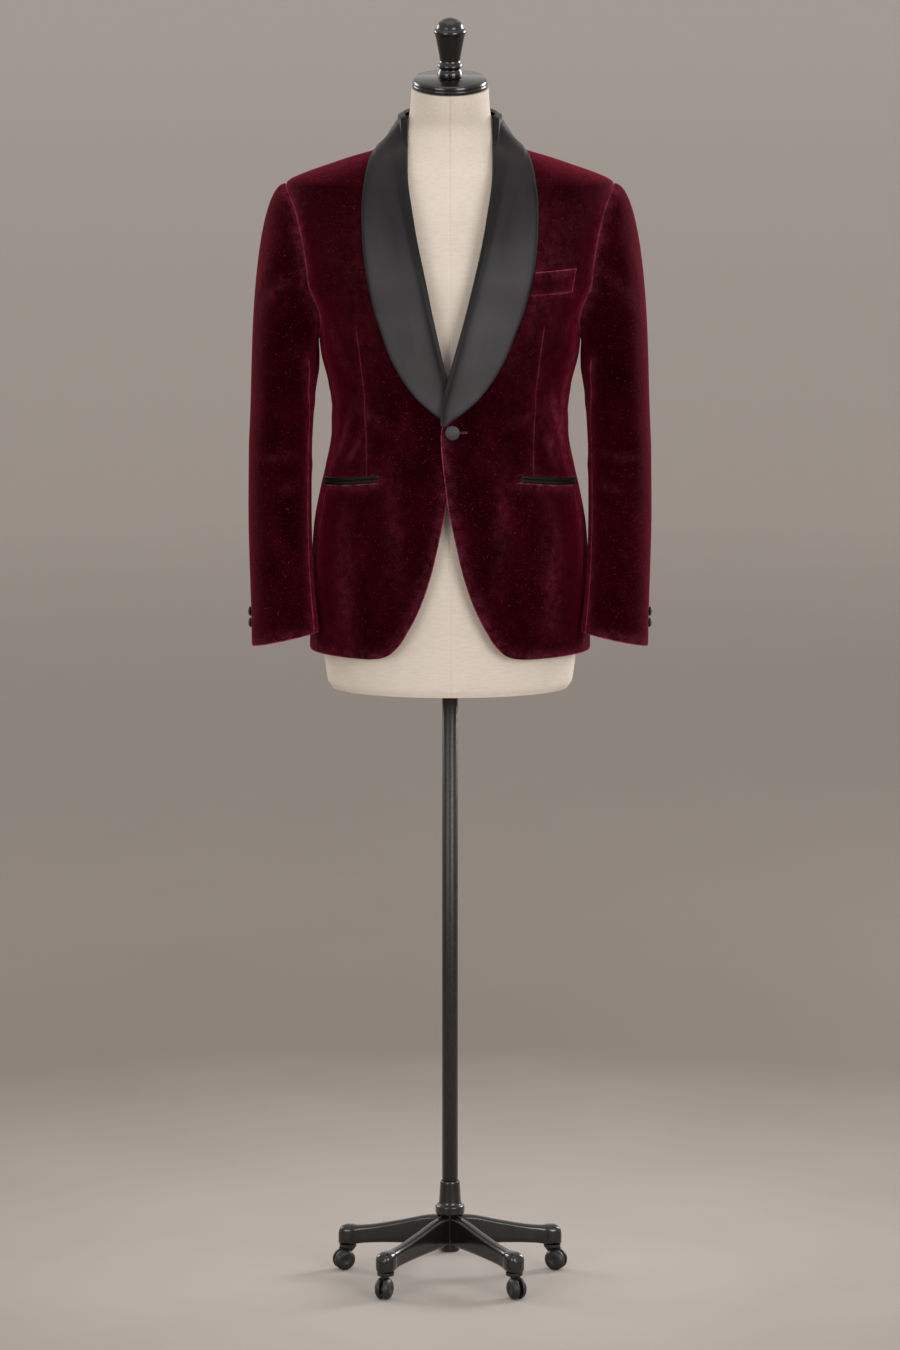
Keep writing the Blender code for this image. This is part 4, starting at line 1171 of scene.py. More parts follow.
def collar_rows(side):
    """Angle and height of the fold and of the free edge for each row, from the tip to the back."""
    tip = COLLAR_TIP + TIP_LENGTH * np.linspace(0, 1, 16) ** 1.4
    lapel = np.linspace(COLLAR_TIP + TIP_LENGTH + 3.5, COLLAR_SHOULDER, 92)
    edge_height = np.concatenate([tip, lapel])
    edge_x = on_side(side, smooth(SHAWL_EDGE, 1, edge_height), edge_height)
    fold_height = edge_height + smooth(SHAWL_EDGE, 2, edge_height)
    way = np.concatenate([np.linspace(0, 0.985, 46)[1:], [0.993, 1.0]])
    fold_angle = np.concatenate([roll_angle(side, fold_height), side * smooth(COLLAR, 1, way)])
    edge_angle = np.concatenate([front_angle(edge_x, edge_height), side * smooth(COLLAR, 3, way)])
    fold_height = np.concatenate([fold_height, smooth(COLLAR, 2, way)])
    edge_height = np.concatenate([edge_height, smooth(COLLAR, 4, way)])
    return fold_angle, fold_height, edge_angle, edge_height


def through(points, count):
    """Catmull-Rom curve through the columns of a grid, count steps for each span."""
    before = 2 * points[:, :1] - points[:, 1:2]
    after = 2 * points[:, -1:] - points[:, -2:-1]
    p = np.concatenate([before, points, after], axis=1)
    t = (np.arange(count) / count)[None, None, :, None]
    a, b, c, d = (p[:, i:p.shape[1] - 3 + i, None, :] for i in range(4))
    curve = b + 0.5 * t * (c - a + t * (2 * a - 5 * b + 4 * c - d + t * (3 * (b - c) + d - a)))
    return curve.reshape(len(points), -1, 3)


# %% The shawl collar
LEAF_SHARES = 0.02 + 0.98 * np.concatenate([np.linspace(0, 0.97, 42) ** 1.25, [0.98, 0.988, 0.994, 1.0]])
# How far from the fold and from the free edge the satin is seen turned away, and painted in shade.
FOLD_SHADE = 7.0
EDGE_SHADE = 4.0
EDGE_SHADE_SHARE = 0.8


def make_leaf(side):
    """Grid from inside the fold to the free edge: a turn, then the front's own points moved out by
    a swell that falls off as a bell, blended into a cubic bridge over the shoulder.
    """
    fold_angle, fold_height, edge_angle, edge_height = collar_rows(side)
    lying = LAY_GAP + CLOTH + SHOULDER_LIFT * ramp(fold_height, *LIFT_STARTS)
    start = panel_point(side, fold_angle, fold_height)
    end = panel_point(side, edge_angle, edge_height)
    fold_normal = body_normal(fold_angle, fold_height)
    edge_normal = body_normal(edge_angle, edge_height)
    width = np.linalg.norm(end - start, axis=-1)
    full = ramp(width, *PUFF_WIDTHS)
    if side < 0:
        full = full * (RIGHT_PUFF + (1 - RIGHT_PUFF) * ramp(fold_height, *RIGHT_PUFF_GROWS))
    share = LEAF_SHARES[None, :]
    angle = fold_angle[:, None] + (edge_angle - fold_angle)[:, None] * share
    height = fold_height[:, None] + (edge_height - fold_height)[:, None] * share
    bell = np.exp(-((share * width[:, None] / PUFF_REACH) ** 2))
    swell = ROLL_PUFF * full[:, None] * bell * (1 - share)
    leaf = panel_point(side, angle, height, lying[:, None] + swell)
    slim = ramp(fold_height, *BRIDGE_STARTS)[:, None]
    top = start + fold_normal * (lying[:, None] + ROLL_PUFF * (1 - PUFF_SLIMMING * slim))
    foot = end + edge_normal * lying[:, None]
    handle_top = (top + (foot - top) / 3 + fold_normal * BRIDGE_BOW)[:, None]
    handle_foot = (foot + (top - foot) / 3 + edge_normal * BRIDGE_BOW)[:, None]
    t = share[..., None]
    curve = top[:, None] * (1 - t) ** 3 + handle_top * 3 * t * (1 - t) ** 2
    curve = curve + handle_foot * 3 * t**2 * (1 - t) + foot[:, None] * t**3
    clear = ((curve - leaf) * body_normal(angle, height)).sum(axis=-1)
    bridge = slim * ramp(clear, 0, BRIDGE_CLEAR)
    leaf = leaf + (curve - leaf) * bridge[..., None]
    inward = start - leaf[:, 1]
    across = unit(inward - fold_normal * (inward * fold_normal).sum(axis=-1, keepdims=True))
    over = ramp(fold_height, *TURN_STARTS)[:, None]
    past = TURNOVER[:, 2] + (TURNOVER[:, 0] - TURNOVER[:, 2]) * over
    above = TURNOVER[:, 1] - np.maximum(TURNOVER[:, 1], 0) * FOLD_SLIMMING * slim
    level = lying[:, None] + (above - lying[:, None]) * over
    turn = start[:, None] + across[:, None] * past[..., None] + fold_normal[:, None] * level[..., None]
    grid = np.concatenate([through(np.concatenate([turn, leaf[:, :1]], axis=1), 5)[:, :-5], leaf], axis=1)
    normals = unit(np.cross(np.gradient(grid, axis=1), np.gradient(grid, axis=0))) * side
    grid[-1, :, 0] = side * SEAM_GAP / 2
    normals[-1, :, 0] = 0
    normals = unit(normals)
    rounded, wear_and_light = sewn(grid, normals, [("satin", grid[:, -1])])
    fold = grid[:, grid.shape[1] - leaf.shape[1]]
    # Painted shade beside the fold and the free edge, where the satin turns away from the light.
    beside_fold = np.exp(-((distance_to(grid, fold) / FOLD_SHADE) ** 2))
    beside_edge = np.exp(-((distance_to(grid, grid[:, -1]) / EDGE_SHADE) ** 2))
    wear_and_light["turned"] = np.maximum(beside_fold, EDGE_SHADE_SHARE * beside_edge)
    name = f"{WORDS[side]}_shawl_satin"
    node = f"shawl_{WORDS[side]}"
    piece = add_cloth(name, rounded, grid - normals * CLOTH, [satin, satin], node, wear_and_light)
    declare_cloth(piece, grid)


for side in (1, -1):
    make_leaf(side)

# %% The collar's stand
STAND_TOP = [(61, 1598), (66, 1609), (70, 1617), (74.5, 1630), (105, 1635), (144, 1638.5), (180, 1640)]
STAND_START = 66
STAND_SHORT = 4.5


def make_stand():
    """The jacket's surface above the neck seam, to just under the collar's fold."""
    angles = np.linspace(STAND_START, 360 - STAND_START, 120)
    top = smooth(STAND_TOP, 1, np.minimum(angles, 360 - angles)) - STAND_SHORT
    low = NECK_HEIGHT + SEAM_GAP / 2
    rows = low + (top - low)[None, :] * edge_shares(6)[:, None]
    angles = np.repeat(angles[None, :], len(rows), axis=0)
    normals = body_normal(angles, rows)
    full = body_point(angles, rows)
    outer, wear_and_light = sewn(full, normals, [("seam", full[0]), ("seam", full[-1])])
    inner = full - normals * CLOTH
    piece = add_cloth("collar_stand_cloth", outer, inner, [velvet, velvet], "under_collar", wear_and_light)
    declare_cloth(piece, outer)


make_stand()

# %% [markdown]
# The breast pocket has a velvet welt, and each hip pocket two narrow satin jets that meet at the
# slit. They lie on the fronts, so they are made from the same points, moved out. Each jet is a
# folded strip and so has a round back.

# %% Pocket trims
WELT_LIFT = 0.3
JET_LIFT = 0.25
BESIDE_COLLAR = 2.2
SLIT_HALF = 0.2


def make_welt():
    """Grid between two slanting lines, from beside the collar to the welt's leaning outer end."""
    share = edge_shares(22)
    level = edge_shares(10)[:, None]
    low_x = smooth(SHAWL_EDGE, 1, 1397) + BESIDE_COLLAR
    high_x = smooth(SHAWL_EDGE, 1, 1428) + BESIDE_COLLAR
    inner_x = low_x + (high_x - low_x) * level
    x = inner_x + (WELT_OUTER + WELT_LEAN * level - inner_x) * share
    low = WELT_LOW[0] + WELT_LOW[1] * (x - WELT_LOW[2])
    high = WELT_HIGH[0] + WELT_HIGH[1] * (x - WELT_HIGH[2])
    rows = low + (high - low) * level
    angles = front_angle(x, rows)
    normals = body_normal(angles, rows)
    full = panel_point(1, angles, rows, LAY_GAP + WELT_LIFT + TRIM_WALL)
    outer, wear_and_light = sewn(full, normals, [("seam", full[0]), ("edge", full[-1]), ("edge", full[:, -1])])
    inner = full - normals * TRIM_WALL
    return add_cloth("breast_welt_cloth", outer, inner, [velvet, velvet], "breast_welt", wear_and_light)


def make_jet(side, kind, low, high):
    """Strip whose outer face is half a circle across: wall * sqrt(1 - (2v - 1)^2)."""
    share = crowded(edge_shares(24))
    v = (1 - np.cos(np.linspace(0, math.pi, 15)))[:, None] / 2
    x = JET_INNER[0] + (JET_OUTER[0] - JET_INNER[0]) * share + 0 * v
    rows = JET_INNER[1] + (JET_OUTER[1] - JET_INNER[1]) * share + low + (high - low) * v
    angles = front_angle(side * x, rows)
    ends = np.minimum(ramp(share, -0.004, 0.02), ramp(share, 1.004, 0.98))
    round_back = np.sqrt(np.maximum(1 - (2 * v - 1) ** 2, 0)) * ends
    outer = panel_point(side, angles, rows, LAY_GAP + JET_LIFT + TRIM_WALL * round_back)
    inner = panel_point(side, angles, rows, LAY_GAP + 0 * x)
    name = f"{WORDS[side]}_{kind}_jet_satin"
    node = f"pocket_{kind}_jet_{WORDS[side]}"
    return add_cloth(name, outer, inner, [piping, piping], node)


trims = {1: [make_welt()], -1: []}
for side in (1, -1):
    trims[side].append(make_jet(side, "upper", SLIT_HALF, JET_REACH))
    trims[side].append(make_jet(side, "lower", -JET_REACH, -SLIT_HALF))
print("trims:", [piece.name for piece in trims[1] + trims[-1]])

# %% [markdown]
# The jacket closes with one satin-covered button, and each cuff has two small ones. A covered
# button is a low dome over a rim, turned about the cloth's normal. The buttonhole beside it is a
# slit with a close row of stitches on each side, so it is one mesh made from an array of stitches.

# %% Turned pieces
def rounded_corners(profile, share, count):
    """Profile whose inner corners become quadratic curves that start a share of the way off."""
    p = np.asarray(profile, float)
    middle = p[1:-1]
    before = middle + (p[:-2] - middle) * share
    after = middle + (p[2:] - middle) * share
    t = np.linspace(0, 1, count)[:, None]
    curve = before[:, None] * (1 - t) ** 2 + middle[:, None] * 2 * t * (1 - t) + after[:, None] * t**2
    return np.concatenate([p[:1], curve.reshape(-1, 2), p[-1:]])


def ring_quads(rows, columns):
    """Quads of a grid whose last column joins its first."""
    index = np.arange(rows * columns).reshape(rows, columns)
    after = np.roll(index, -1, axis=1)
    return np.stack([index[:-1], after[:-1], after[1:], index[1:]], axis=-1).reshape(-1, 4)


def tube_arrays(rings):
    """Points, quads and the two end faces of a closed tube through rings, faces outwards."""
    rows, columns = rings.shape[:2]
    points = rings.reshape(-1, 3)
    quads = ring_quads(rows, columns)
    low = np.arange(columns)
    high = low + (rows - 1) * columns
    if volume_sign(points, quads) > 0:
        return points, quads, [low[::-1].tolist(), high.tolist()]
    return points, quads[:, ::-1], [low.tolist(), high[::-1].tolist()]


def turned_rings(profile, segments, centre=(0, 0, 0), axis=(0, 0, 1)):
    """Rings of a profile of (along the axis, radius) turned about the axis."""
    axis = np.array(axis, float)
    across = np.cross(axis, (0, 0, 1) if abs(axis[2]) < 0.9 else (1, 0, 0))
    across = across / np.linalg.norm(across)
    other = np.cross(axis, across)
    turns = 2 * math.pi * np.arange(segments) / segments
    circle = np.cos(turns)[:, None] * across + np.sin(turns)[:, None] * other
    profile = np.asarray(profile, float)
    spine = np.array(centre, float) + axis * profile[:, :1]
    return spine[:, None] + circle * profile[:, 1, None, None]


def add_tube(name, rings, finish, node, body=ROOT_BODY):
    """Piece through rings, closed at both ends."""
    points, quads, ends = tube_arrays(rings)
    return add_piece(name, points, quads, [finish], node, body, ends)


# %% Buttons
BUTTON_PLACE = (3.3, 1211.0)
CUFF_BUTTON_HEIGHTS = (937.5, 952.5)
CUFF_BUTTON_TURN = math.radians(352)
CUFF_BUTTON_SINK = 0.3
# Radius, height.
FRONT_BUTTON = (10.0, 7.0)
CUFF_BUTTON = (6.8, 5.0)


def make_button(name, node, foot, normal, radius, height):
    """Covered button: a shank, a rolled rim and a low dome."""
    profile = [
        (0.0, 0.3 * radius),
        (0.16 * height, 0.32 * radius),
        (0.2 * height, 0.86 * radius),
        (0.38 * height, radius),
        (0.6 * height, 0.95 * radius),
        (0.64 * height, 0.86 * radius),
        (0.86 * height, 0.62 * radius),
        (0.985 * height, 0.3 * radius),
        (height, 0.04 * radius),
    ]
    rings = turned_rings(rounded_corners(profile, 0.45, 5), 56, foot + normal * SEAM_GAP, normal)
    return add_tube(name, rings, satin, node)


button_angle = front_angle(BUTTON_PLACE[0], BUTTON_PLACE[1])
button_foot = panel_point(1, button_angle, np.float64(BUTTON_PLACE[1]))
button_normal = body_normal(button_angle, BUTTON_PLACE[1])
make_button("front_button_satin", "front_button", button_foot, button_normal, *FRONT_BUTTON)
for side in (1, -1):
    for number, height in enumerate(CUFF_BUTTON_HEIGHTS, 1):
        foot = sleeve_ring(side, np.float64(CUFF_BUTTON_TURN), height)
        beside = sleeve_ring(side, np.float64(CUFF_BUTTON_TURN + 0.02), height) - foot
        above = sleeve_ring(side, np.float64(CUFF_BUTTON_TURN), height + 1) - foot
        normal = unit(np.cross(beside, above)) * -side
        node = f"cuff_button_{WORDS[side]}_{number}"
        make_button(f"{node}_satin", node, foot - normal * CUFF_BUTTON_SINK, normal, *CUFF_BUTTON)
print("buttons:", 1 + 2 * len(CUFF_BUTTON_HEIGHTS))

# %% Buttonhole
THREAD_RED = colour(92, 26, 42)
HOLE_ENDS = (12.0, 23.0)
STITCH_COUNT = 26
STITCH_LENGTH = 1.5
STITCH_RADIUS = 0.26
STITCH_SIDES = 6
STITCH_LIFT = 0.15
HOLE_HALF = 0.05


def make_thread():
    """Red with fine strands from a small noise."""
    material, tree, shader = new_material("buttonhole_thread")
    strands = noise(tree, object_coordinates(tree), 2600.0, 2.0)
    tone = colour_steps(tree, strands, [(0.3, colour(56, 10, 20)), (0.7, THREAD_RED)])
    tree.links.new(tone, shader.inputs["Base Color"])
    shader.inputs["Roughness"].default_value = 0.55
    bump(tree, shader, strands, 0.0002, 0.5)
    return material


def make_buttonhole():
    """Two rows of short barrels across the slit: rings of radius * sqrt(1 - 0.94 v^2), v from -1 to 1."""
    x = np.linspace(*HOLE_ENDS, STITCH_COUNT)
    x = np.concatenate([x, x])
    row = np.repeat([1.0, -1.0], STITCH_COUNT)
    height = BUTTON_PLACE[1] + row * (STITCH_LENGTH / 2 + HOLE_HALF)
    angle = front_angle(x, height)
    normal = body_normal(angle, height)
    centre = panel_point(1, angle, height, np.full(len(x), STITCH_LIFT))
    up = unit(np.array([0, 0, 1.0]) - normal * normal[:, 2:])
    along = np.cross(up, normal)
    share = np.linspace(-1, 1, 7)
    girth = STITCH_RADIUS * np.sqrt(1 - 0.94 * share**2)
    turns = 2 * math.pi * np.arange(STITCH_SIDES) / STITCH_SIDES
    ring = np.cos(turns)[None, :, None] * along[:, None] + np.sin(turns)[None, :, None] * normal[:, None]
    spine = centre[:, None] + up[:, None] * (share * STITCH_LENGTH / 2)[None, :, None]
    points = spine[:, :, None] + ring[:, None] * girth[None, :, None, None]
    one, quads, ends = tube_arrays(points[0])
    jump = (np.arange(len(points)) * len(one))[:, None, None]
    fans = (np.array(ends)[None] + jump).reshape(-1, STITCH_SIDES)
    quads = (quads[None] + jump).reshape(-1, 4)
    points = points.reshape(-1, 3)
    thread = [make_thread()]
    return add_piece("buttonhole_stitches", points, quads, thread, None, fans=fans.tolist())


trims[1].append(make_buttonhole())
for side in (1, -1):
    declare_cloth(fronts[side][0], fronts[side][1])

# %% [markdown]
# The dress form is a padded body under a skin of cream canvas, with a seam down its middle and
# its sides. Canvas is a plain weave: two sets of threads that pass over and under each other,
# which a product of two waves along the skin's own coordinates gives.

# %% Canvas
CANVAS_LIGHT = colour(214, 204, 191)
CANVAS_DARK = colour(190, 178, 164)
THREADS_PER_METRE = 1200.0


def wave(tree, vector, direction):
    """Bands across a direction, one for each thread (a wave of scale s has s * 20 / 2 pi bands a metre)."""
    node = tree.nodes.new("ShaderNodeTexWave")
    node.bands_direction = direction
    node.inputs["Scale"].default_value = THREADS_PER_METRE * 2 * math.pi / 20
    node.inputs["Distortion"].default_value = 1.2
    node.inputs["Detail"].default_value = 1.0
    tree.links.new(vector, node.inputs["Vector"])
    return node.outputs["Fac"]


def make_canvas():
    """Cream, with a weave of two crossed bands, uneven threads and faint stains."""
    material, tree, shader = new_material("cream_canvas")
    skin = own_uv(tree)
    weave = combine(tree, "MULTIPLY", wave(tree, skin, "X"), wave(tree, skin, "Y"))
    slubs = noise(tree, stretched(tree, skin, (60.0, 420.0, 1.0)), 1.0, 3.0)
    stains = noise(tree, object_coordinates(tree), 9.0)
    share = weighted(tree, (weave, 0.3), (slubs, 0.35), (stains, 0.35))
    tone = colour_steps(tree, share, [(0.25, CANVAS_DARK), (0.65, CANVAS_LIGHT)])
    tree.links.new(tone, shader.inputs["Base Color"])
    tree.links.new(between(tree, slubs, 0.8, 0.95), shader.inputs["Roughness"])
    shader.inputs["Specular IOR Level"].default_value = 0.2
    bump(tree, shader, share, 0.0006, 0.5)
    return material


canvas = make_canvas()

# %% The dress form
# Height, half width, y of the widest place, front y, back y.
FORM = [
    (840, 164, 16, -98, 110),
    (850, 170, 16, -102, 115),
    (920, 176, 16, -108, 122),
    (1000, 174, 15, -111, 121),
    (1100, 161, 12, -111, 113),
    (1205, 145, 6, -108, 96),
    (1260, 147, 4, -112, 93),
    (1340, 163, 3, -122, 103),
    (1400, 174, 4, -122, 111),
    (1450, 183, 6, -112, 113),
    (1490, 188, 8, -96, 107),
    (1525, 189, 10, -78, 92),
    (1546, 188, 11, -68, 84),
    (1555, 184, 11, -64, 81),
    (1569, 148.5, 12, -55, 75),
    (1595, 74.7, 14, -37, 67),
    (1614, 63, 14, -32, 63),
    (1640, 55, 8, -42, 56),
    (1672.7, 53, 0, -52, 52),
]
# The top of the neck leans forward, and the neck takes up the lean between two heights.
NECK_TOP = 1673.0
NECK_LEAN = math.radians(11)
NECK_BENDS = (1614, 1672.7)
NECK_AXIS = (0, -math.sin(NECK_LEAN), math.cos(NECK_LEAN))
FORM_SEAMS = np.array([0.0, 90.0, 180.0, 270.0, 360.0])
FORM_SEAM_DEPTH = 0.9
FORM_SEAM_HALF = 0.55
FORM_FOOT_SHARES = np.array([0.05, 0.4, 0.7, 0.88, 0.96])


def make_form():
    """Sections of the form with a bell-shaped groove at each seam, closed by rings across its foot."""
    beside = np.array([-2.2, -1.3, -0.8, -0.4, 0, 0.4, 0.8, 1.3, 2.2])
    near = (FORM_SEAMS[:4, None] + beside).ravel()
    angles = np.unique(np.mod(np.concatenate([np.arange(4.0, 360.0, 4.0), near]), 360))
    heights = np.concatenate([[840.0, 840.6, 842, 844.5, 848], np.linspace(852, 1672.7, 150)])
    grid = section_point(FORM, angles[None, :] + 0 * heights[:, None], heights[:, None])
    centre = np.stack([0 * heights, smooth(FORM, 2, heights), heights], axis=-1)[:, None]
    off = np.min(np.abs(angles[:, None] - FORM_SEAMS), axis=1)
    groove = FORM_SEAM_DEPTH * np.exp(-((off / FORM_SEAM_HALF) ** 2))
    grid = grid - unit(grid - centre) * groove[None, :, None]
    grid[..., 2] += math.tan(NECK_LEAN) * grid[..., 1] * ramp(heights, *NECK_BENDS)[:, None]
    foot = centre[0] + (grid[0] - centre[0]) * FORM_FOOT_SHARES[:, None, None]
    grid = np.concatenate([foot, grid])
    points, quads, ends = tube_arrays(grid)
    across = np.radians(np.minimum(angles, 360 - angles))[None, :] * 150 + 0 * grid[..., 2]
    uv = np.stack([across, grid[..., 2]], axis=-1).reshape(-1, 2)
    piece = add_piece("form_canvas", points, quads, [canvas], "torso_form", fans=ends, uv=uv)
    print(piece.name, "faces", len(piece.data.polygons))


make_form()

# %% [markdown]
# The neck cap, finial and stand are turned and carved in wood under black lacquer, which is a
# smooth clear coat over a dark stain. The pole is painted steel and the wheels are black plastic.

# %% Black finishes
def make_black(name, deep, pale, grain, roughness, coat):
    """Dark base with a slow change of tone, a little uneven gloss and an optional clear coat."""
    material, tree, shader = new_material(name)
    figure = noise(tree, stretched(tree, object_coordinates(tree), grain), 1.0, 3.0)
    tree.links.new(colour_steps(tree, figure, [(0.3, deep), (0.75, pale)]), shader.inputs["Base Color"])
    tree.links.new(between(tree, figure, *roughness), shader.inputs["Roughness"])
    shader.inputs["Specular IOR Level"].default_value = 0.38
    shader.inputs["Coat Weight"].default_value = coat
    shader.inputs["Coat Roughness"].default_value = 0.12
    bump(tree, shader, figure, 0.0003, 0.3)
    return material


# Finish: darkest and palest colour, clouds in a metre along each axis, roughness, clear coat.
BLACKS = {
    "black_lacquer": (colour(10, 9, 8), colour(21, 19, 18), (90.0, 90.0, 30.0), (0.16, 0.24), 0.3),
    "painted_steel": (colour(18, 17, 17), colour(32, 31, 31), (300.0, 300.0, 300.0), (0.3, 0.42), 0.0),
    "black_plastic": (colour(16, 16, 17), colour(30, 30, 31), (500.0, 500.0, 500.0), (0.36, 0.5), 0.0),
}
lacquer, steel, plastic = (make_black(name, *values) for name, values in BLACKS.items())
print("finishes:", list(BLACKS))

# %% Cap, finial, pole and hub
CAP_PROFILE = [(0, 49.5), (1.5, 52), (5, 52), (6, 50.8), (7, 52), (11, 51.4), (13, 48.5)]
FINIAL_FOOT = 13.3
FINIAL_PROFILE = [
    (0, 15.6), (2.5, 17), (6.5, 17.4), (10.5, 16), (13, 14.6), (15.3, 16.6), (17.6, 17.4), (20, 16.4),
    (23, 14.2), (26, 13.9), (61, 20.4), (63, 22.2), (66, 22.6), (68.6, 21.6), (70, 19.2), (74.8, 17.9),
    (78.4, 15.4), (82, 10.2), (84.2, 2.5),
]
POLE_PROFILE = [(90.3, 10.4), (91, 11), (839, 11), (839.7, 10.4)]
HUB_PROFILE = [
    (38, 12.5), (39, 13.5), (91, 13.5), (92.5, 20), (94, 20.5), (103, 20.5), (105, 19), (106, 15.6),
    (137, 13.8), (139, 13), (139, 11.4), (90, 11.4),
]
neck_top = np.array([0, 0, NECK_TOP])
finial_foot = neck_top + FINIAL_FOOT * np.array(NECK_AXIS)
cap_rings = turned_rings(rounded_corners(CAP_PROFILE, 0.35, 5), 96, neck_top, NECK_AXIS)
add_tube("neck_cap_wood", cap_rings, lacquer, "neck_cap")
finial_rings = turned_rings(rounded_corners(FINIAL_PROFILE, 0.5, 6), 72, finial_foot, NECK_AXIS)
add_tube("finial_wood", finial_rings, lacquer, "finial")
add_tube("pole_steel", turned_rings(POLE_PROFILE, 48), steel, "pole")
hub_rings = turned_rings(rounded_corners(HUB_PROFILE, 0.25, 5), 64)
add_tube("hub_wood", hub_rings, lacquer, "base_hub")
print("turned pieces: cap, finial, pole, hub")

# %% [markdown]
# Five legs reach out from the hub. Each is one section, flat below and rounded above, that sinks
# and widens on its way to the boss over its castor, so it is an outline carried along the leg.

# %% Legs
# Distance out, half width, bottom, top.
LEG = [
    (14, 7.6, 46, 90),
    (30, 7.6, 46, 88),
    (75, 7.8, 44.5, 77),
    (125, 8.4, 40.5, 66.5),
    (139, 10, 38, 65),
    (145, 12.2, 37, 65.5),
    (152, 13, 37, 65.5),
    (158, 12, 37, 64),
    (162, 9.6, 37, 61),
    (164.5, 5, 37, 54),
]
LEG_OUTLINE = np.array(
    [(-1, 0), (1, 0), (1, 0.6), (0.8, 0.22), (0.35, 0), (-0.35, 0), (-0.8, 0.22), (-1, 0.6)]
)
LEG_START = 14.0
LEG_END = 164.5
ROOT_FLARE = 1.6
FLARE_REACH = 6.0
LEG_ROUNDING = 0.32


def make_leg(number, direction):
    """Upright sections along the leg, each a rounded outline from its half width, foot and top."""
    out = np.array([math.cos(direction), math.sin(direction), 0])
    left = np.array([-out[1], out[0], 0])
    distance = np.concatenate([np.linspace(LEG_START, 138, 30), np.linspace(139.5, LEG_END, 36)])
    half, bottom, top = (smooth(LEG, column, distance)[:, None] for column in (1, 2, 3))
    half = half + ROOT_FLARE * np.exp(-(distance[:, None] - LEG_START) / FLARE_REACH)
    across = LEG_OUTLINE[:, 0] * half
    height = np.where(np.arange(8) < 2, bottom, top - LEG_OUTLINE[:, 1] * half)
    outline = np.stack([across, height], axis=-1)
    before = outline + (np.roll(outline, 1, axis=1) - outline) * LEG_ROUNDING
    after = outline + (np.roll(outline, -1, axis=1) - outline) * LEG_ROUNDING
    t = np.linspace(0, 1, 5)[:, None]
    curve = before[:, :, None] * (1 - t) ** 2 + outline[:, :, None] * 2 * t * (1 - t)
    curve = (curve + after[:, :, None] * t**2).reshape(len(distance), -1, 2)
    rings = out * distance[:, None, None] + left * curve[..., :1] + np.array([0, 0, 1.0]) * curve[..., 1:]
    add_tube(f"leg_{number}_wood", rings, lacquer, f"leg_{number}")


# %% [markdown]
# Each castor is a fork on a swivel over a twin wheel. The fork turns about an upright pin and the
# wheel about its axle, so they are two pieces that ride on two bodies.

# %% Castors
CASTOR_CIRCLE = 152.0
CASTOR_TRAIL = 6.0
CASTORS = [(90, 170), (162, 200), (234, 250), (306, 300), (18, -25)]
WHEEL_RADIUS = 15.0
AXLE_HOLE = 3.9
WHEEL_GAP = 2.7
WHEEL_AXLE = 3.2
FLANGE_PROFILE = [(31.6, 9.5), (32.6, 12), (36.7, 12)]
PLATE_SIDES = 60
PLATE_HALF = 2.0
PLATE_RADIUS = 8.2
PLATE_TOP = 17.5
PLATE_STEEP = 0.8
PIN_DROP = 19.0

# Half of the twin wheel: distance along the axle, radius.
WHEEL_HALF = [
    (WHEEL_GAP, WHEEL_RADIUS - 0.4),
    (3.1, WHEEL_RADIUS),
    (6.5, WHEEL_RADIUS),
    (9.6, 12),
    (11, 9),
    (11, 5),
    (10, 3),
]


def plate_rings(centre, back, axle):
    """Four rings round an upright plate: its outline and its axle hole, on both faces."""
    rays = 2 * math.pi * np.arange(PLATE_SIDES) / PLATE_SIDES
    up = np.sin(rays)
    steep = np.maximum(up, PLATE_STEEP)
    outline = np.where(up > PLATE_STEEP, PLATE_TOP / steep, PLATE_RADIUS)
    rings = []
    hole = 0 * outline + AXLE_HOLE
    for radius, offset in ((outline, -1), (outline, 1), (hole, 1), (hole, -1)):
        height = up * radius
        behind = np.cos(rays) * radius - CASTOR_TRAIL * np.clip(height / PIN_DROP, 0, 1)
        flat = centre + behind[:, None] * back + height[:, None] * np.array([0, 0, 1.0])
        rings.append(flat + axle * offset * PLATE_HALF)
    return np.array(rings + rings[:1])


def make_castor(number, direction, heading):
    """A turned flange with a plate below it rides the swivel, and a turned twin wheel rides the axle."""
    swivel = CASTOR_CIRCLE * np.array([math.cos(direction), math.sin(direction), 0])
    back = np.array([math.cos(heading), math.sin(heading), 0])
    axle = np.array([-back[1], back[0], 0])
    centre = swivel + back * CASTOR_TRAIL + np.array([0, 0, WHEEL_RADIUS])
    flange_rings = turned_rings(rounded_corners(FLANGE_PROFILE, 0.4, 5), 48, swivel)
    flange, flange_quads, ends = tube_arrays(flange_rings)
    rings = plate_rings(centre, back, axle)
    quads = ring_quads(len(rings), PLATE_SIDES) % (4 * PLATE_SIDES)
    plate = rings[:4].reshape(-1, 3)
    quads = quads if volume_sign(plate, quads) > 0 else quads[:, ::-1]
    points = np.concatenate([flange, plate])
    quads = np.concatenate([flange_quads, quads + len(flange)])
    name = f"castor_fork_{number}"
    add_piece(f"{name}_steel", points, quads, [steel], name, f"castor_{number}_swivel", ends)
    profile = [(-along, radius) for along, radius in reversed(WHEEL_HALF)]
    profile += [(-WHEEL_GAP, WHEEL_AXLE), (WHEEL_GAP, WHEEL_AXLE)] + WHEEL_HALF
    wheel = turned_rings(rounded_corners(profile, 0.4, 5), 64, centre, axle)
    name = f"castor_wheel_{number}"
    add_tube(f"{name}_plastic", wheel, plastic, name, f"castor_{number}_roll")


for number, (direction, heading) in enumerate(CASTORS, 1):
    make_leg(number, math.radians(direction))
    make_castor(number, math.radians(direction), math.radians(heading))
print("castors:", len(CASTORS))

# %% [markdown]
# The setting is a plain pale floor under soft studio light. The floor is wide enough to fill the
# picture; its colour carries painted shade, darkest in a band about two metres from the stand and
# pale again far off.

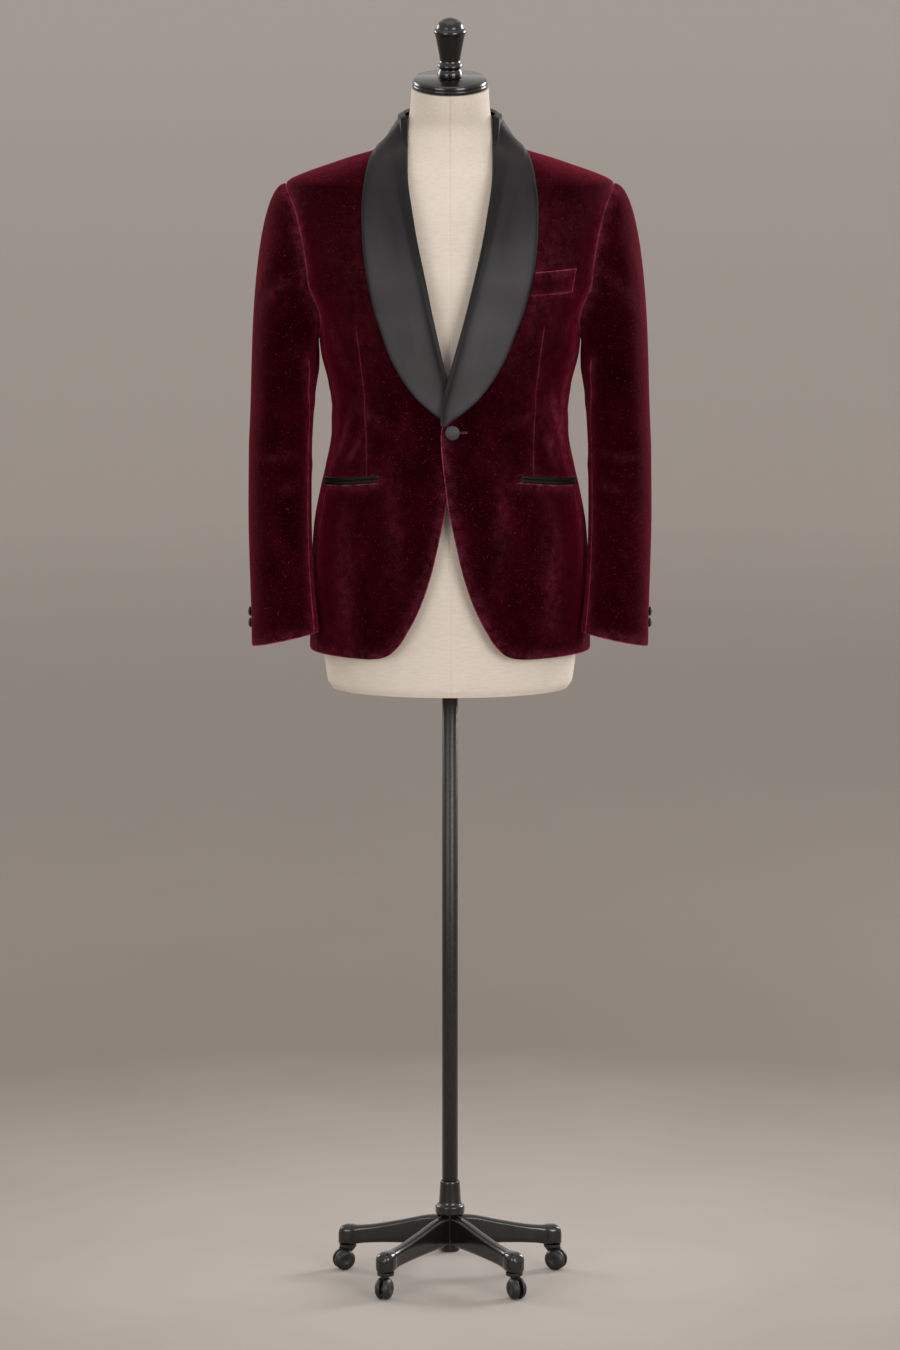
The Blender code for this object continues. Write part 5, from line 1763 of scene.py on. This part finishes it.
# %% Floor
FLOOR_REACH = 90.0
FLOOR_SIDES = 64

# Distance from the stand as a share of FLOOR_REACH, colour with painted shade.
FLOOR_PAINTED_SHADE = [
    (0.0, colour(166, 158, 152)),
    (0.02, colour(104, 96, 89)),
    (0.1, colour(160, 151, 145)),
    (0.36, colour(170, 163, 158)),
]


def make_floor():
    """A flat disc whose tone, painted shade included, is a colour ramp over the distance from its centre."""
    material, tree, shader = new_material("pale_floor")
    place = object_coordinates(tree)
    length = tree.nodes.new("ShaderNodeVectorMath")
    length.operation = "LENGTH"
    tree.links.new(place, length.inputs[0])
    share = combine(tree, "DIVIDE", length.outputs["Value"], FLOOR_REACH)
    share = combine(tree, "ADD", share, combine(tree, "MULTIPLY", noise(tree, place, 3.0), 0.004))
    tree.links.new(colour_steps(tree, share, FLOOR_PAINTED_SHADE), shader.inputs["Base Color"])
    shader.inputs["Roughness"].default_value = 0.7
    shader.inputs["Specular IOR Level"].default_value = 0.2
    turns = 2 * math.pi * np.arange(FLOOR_SIDES) / FLOOR_SIDES
    rim = np.stack([np.cos(turns), np.sin(turns), 0 * turns], axis=-1) * FLOOR_REACH
    mesh = bpy.data.meshes.new("floor")
    mesh.from_pydata(rim.tolist(), [], [list(range(FLOOR_SIDES))])
    mesh.materials.append(material)
    floor = bpy.data.objects.new("floor", mesh)
    bpy.context.scene.collection.objects.link(floor)


make_floor()

# %% Light
WORLD_TINT = colour(255, 250, 245)
WORLD_STRENGTH = 0.8

# Place, where it points, size in metres, power in watts.
LAMPS = {
    "key": ((2.9, -4.6, 1.9), (0, 0, 1.2), 2.4, 150),
    "fill": ((-2.8, -4.6, 1.7), (0, 0, 1.1), 2.4, 80),
    "top": ((0.0, -0.4, 4.6), (0, 0, 1.0), 2.4, 18),
    "left_edge": ((-3.0, 2.0, 2.2), (0, 0, 1.2), 1.6, 60),
    "right_edge": ((3.0, 2.0, 2.2), (0, 0, 1.2), 1.6, 118),
}


def add_lamp(name, place, aim, size, power):
    """Square soft lamp that points at a place."""
    data = bpy.data.lights.new(name, "AREA")
    data.size = size
    data.energy = power
    lamp = bpy.data.objects.new(name, data)
    lamp.location = place
    lamp.rotation_euler = (Vector(aim) - lamp.location).to_track_quat("-Z", "Y").to_euler()
    bpy.context.scene.collection.objects.link(lamp)


for name, (place, aim, size, power) in LAMPS.items():
    add_lamp(name, place, aim, size, power)

world = bpy.data.worlds.new("studio")
world.use_nodes = True
world.node_tree.nodes["Background"].inputs["Color"].default_value = WORLD_TINT
world.node_tree.nodes["Background"].inputs["Strength"].default_value = WORLD_STRENGTH
bpy.context.scene.world = world
bpy.context.scene.view_settings.view_transform = "Standard"
print("lamps:", list(LAMPS))
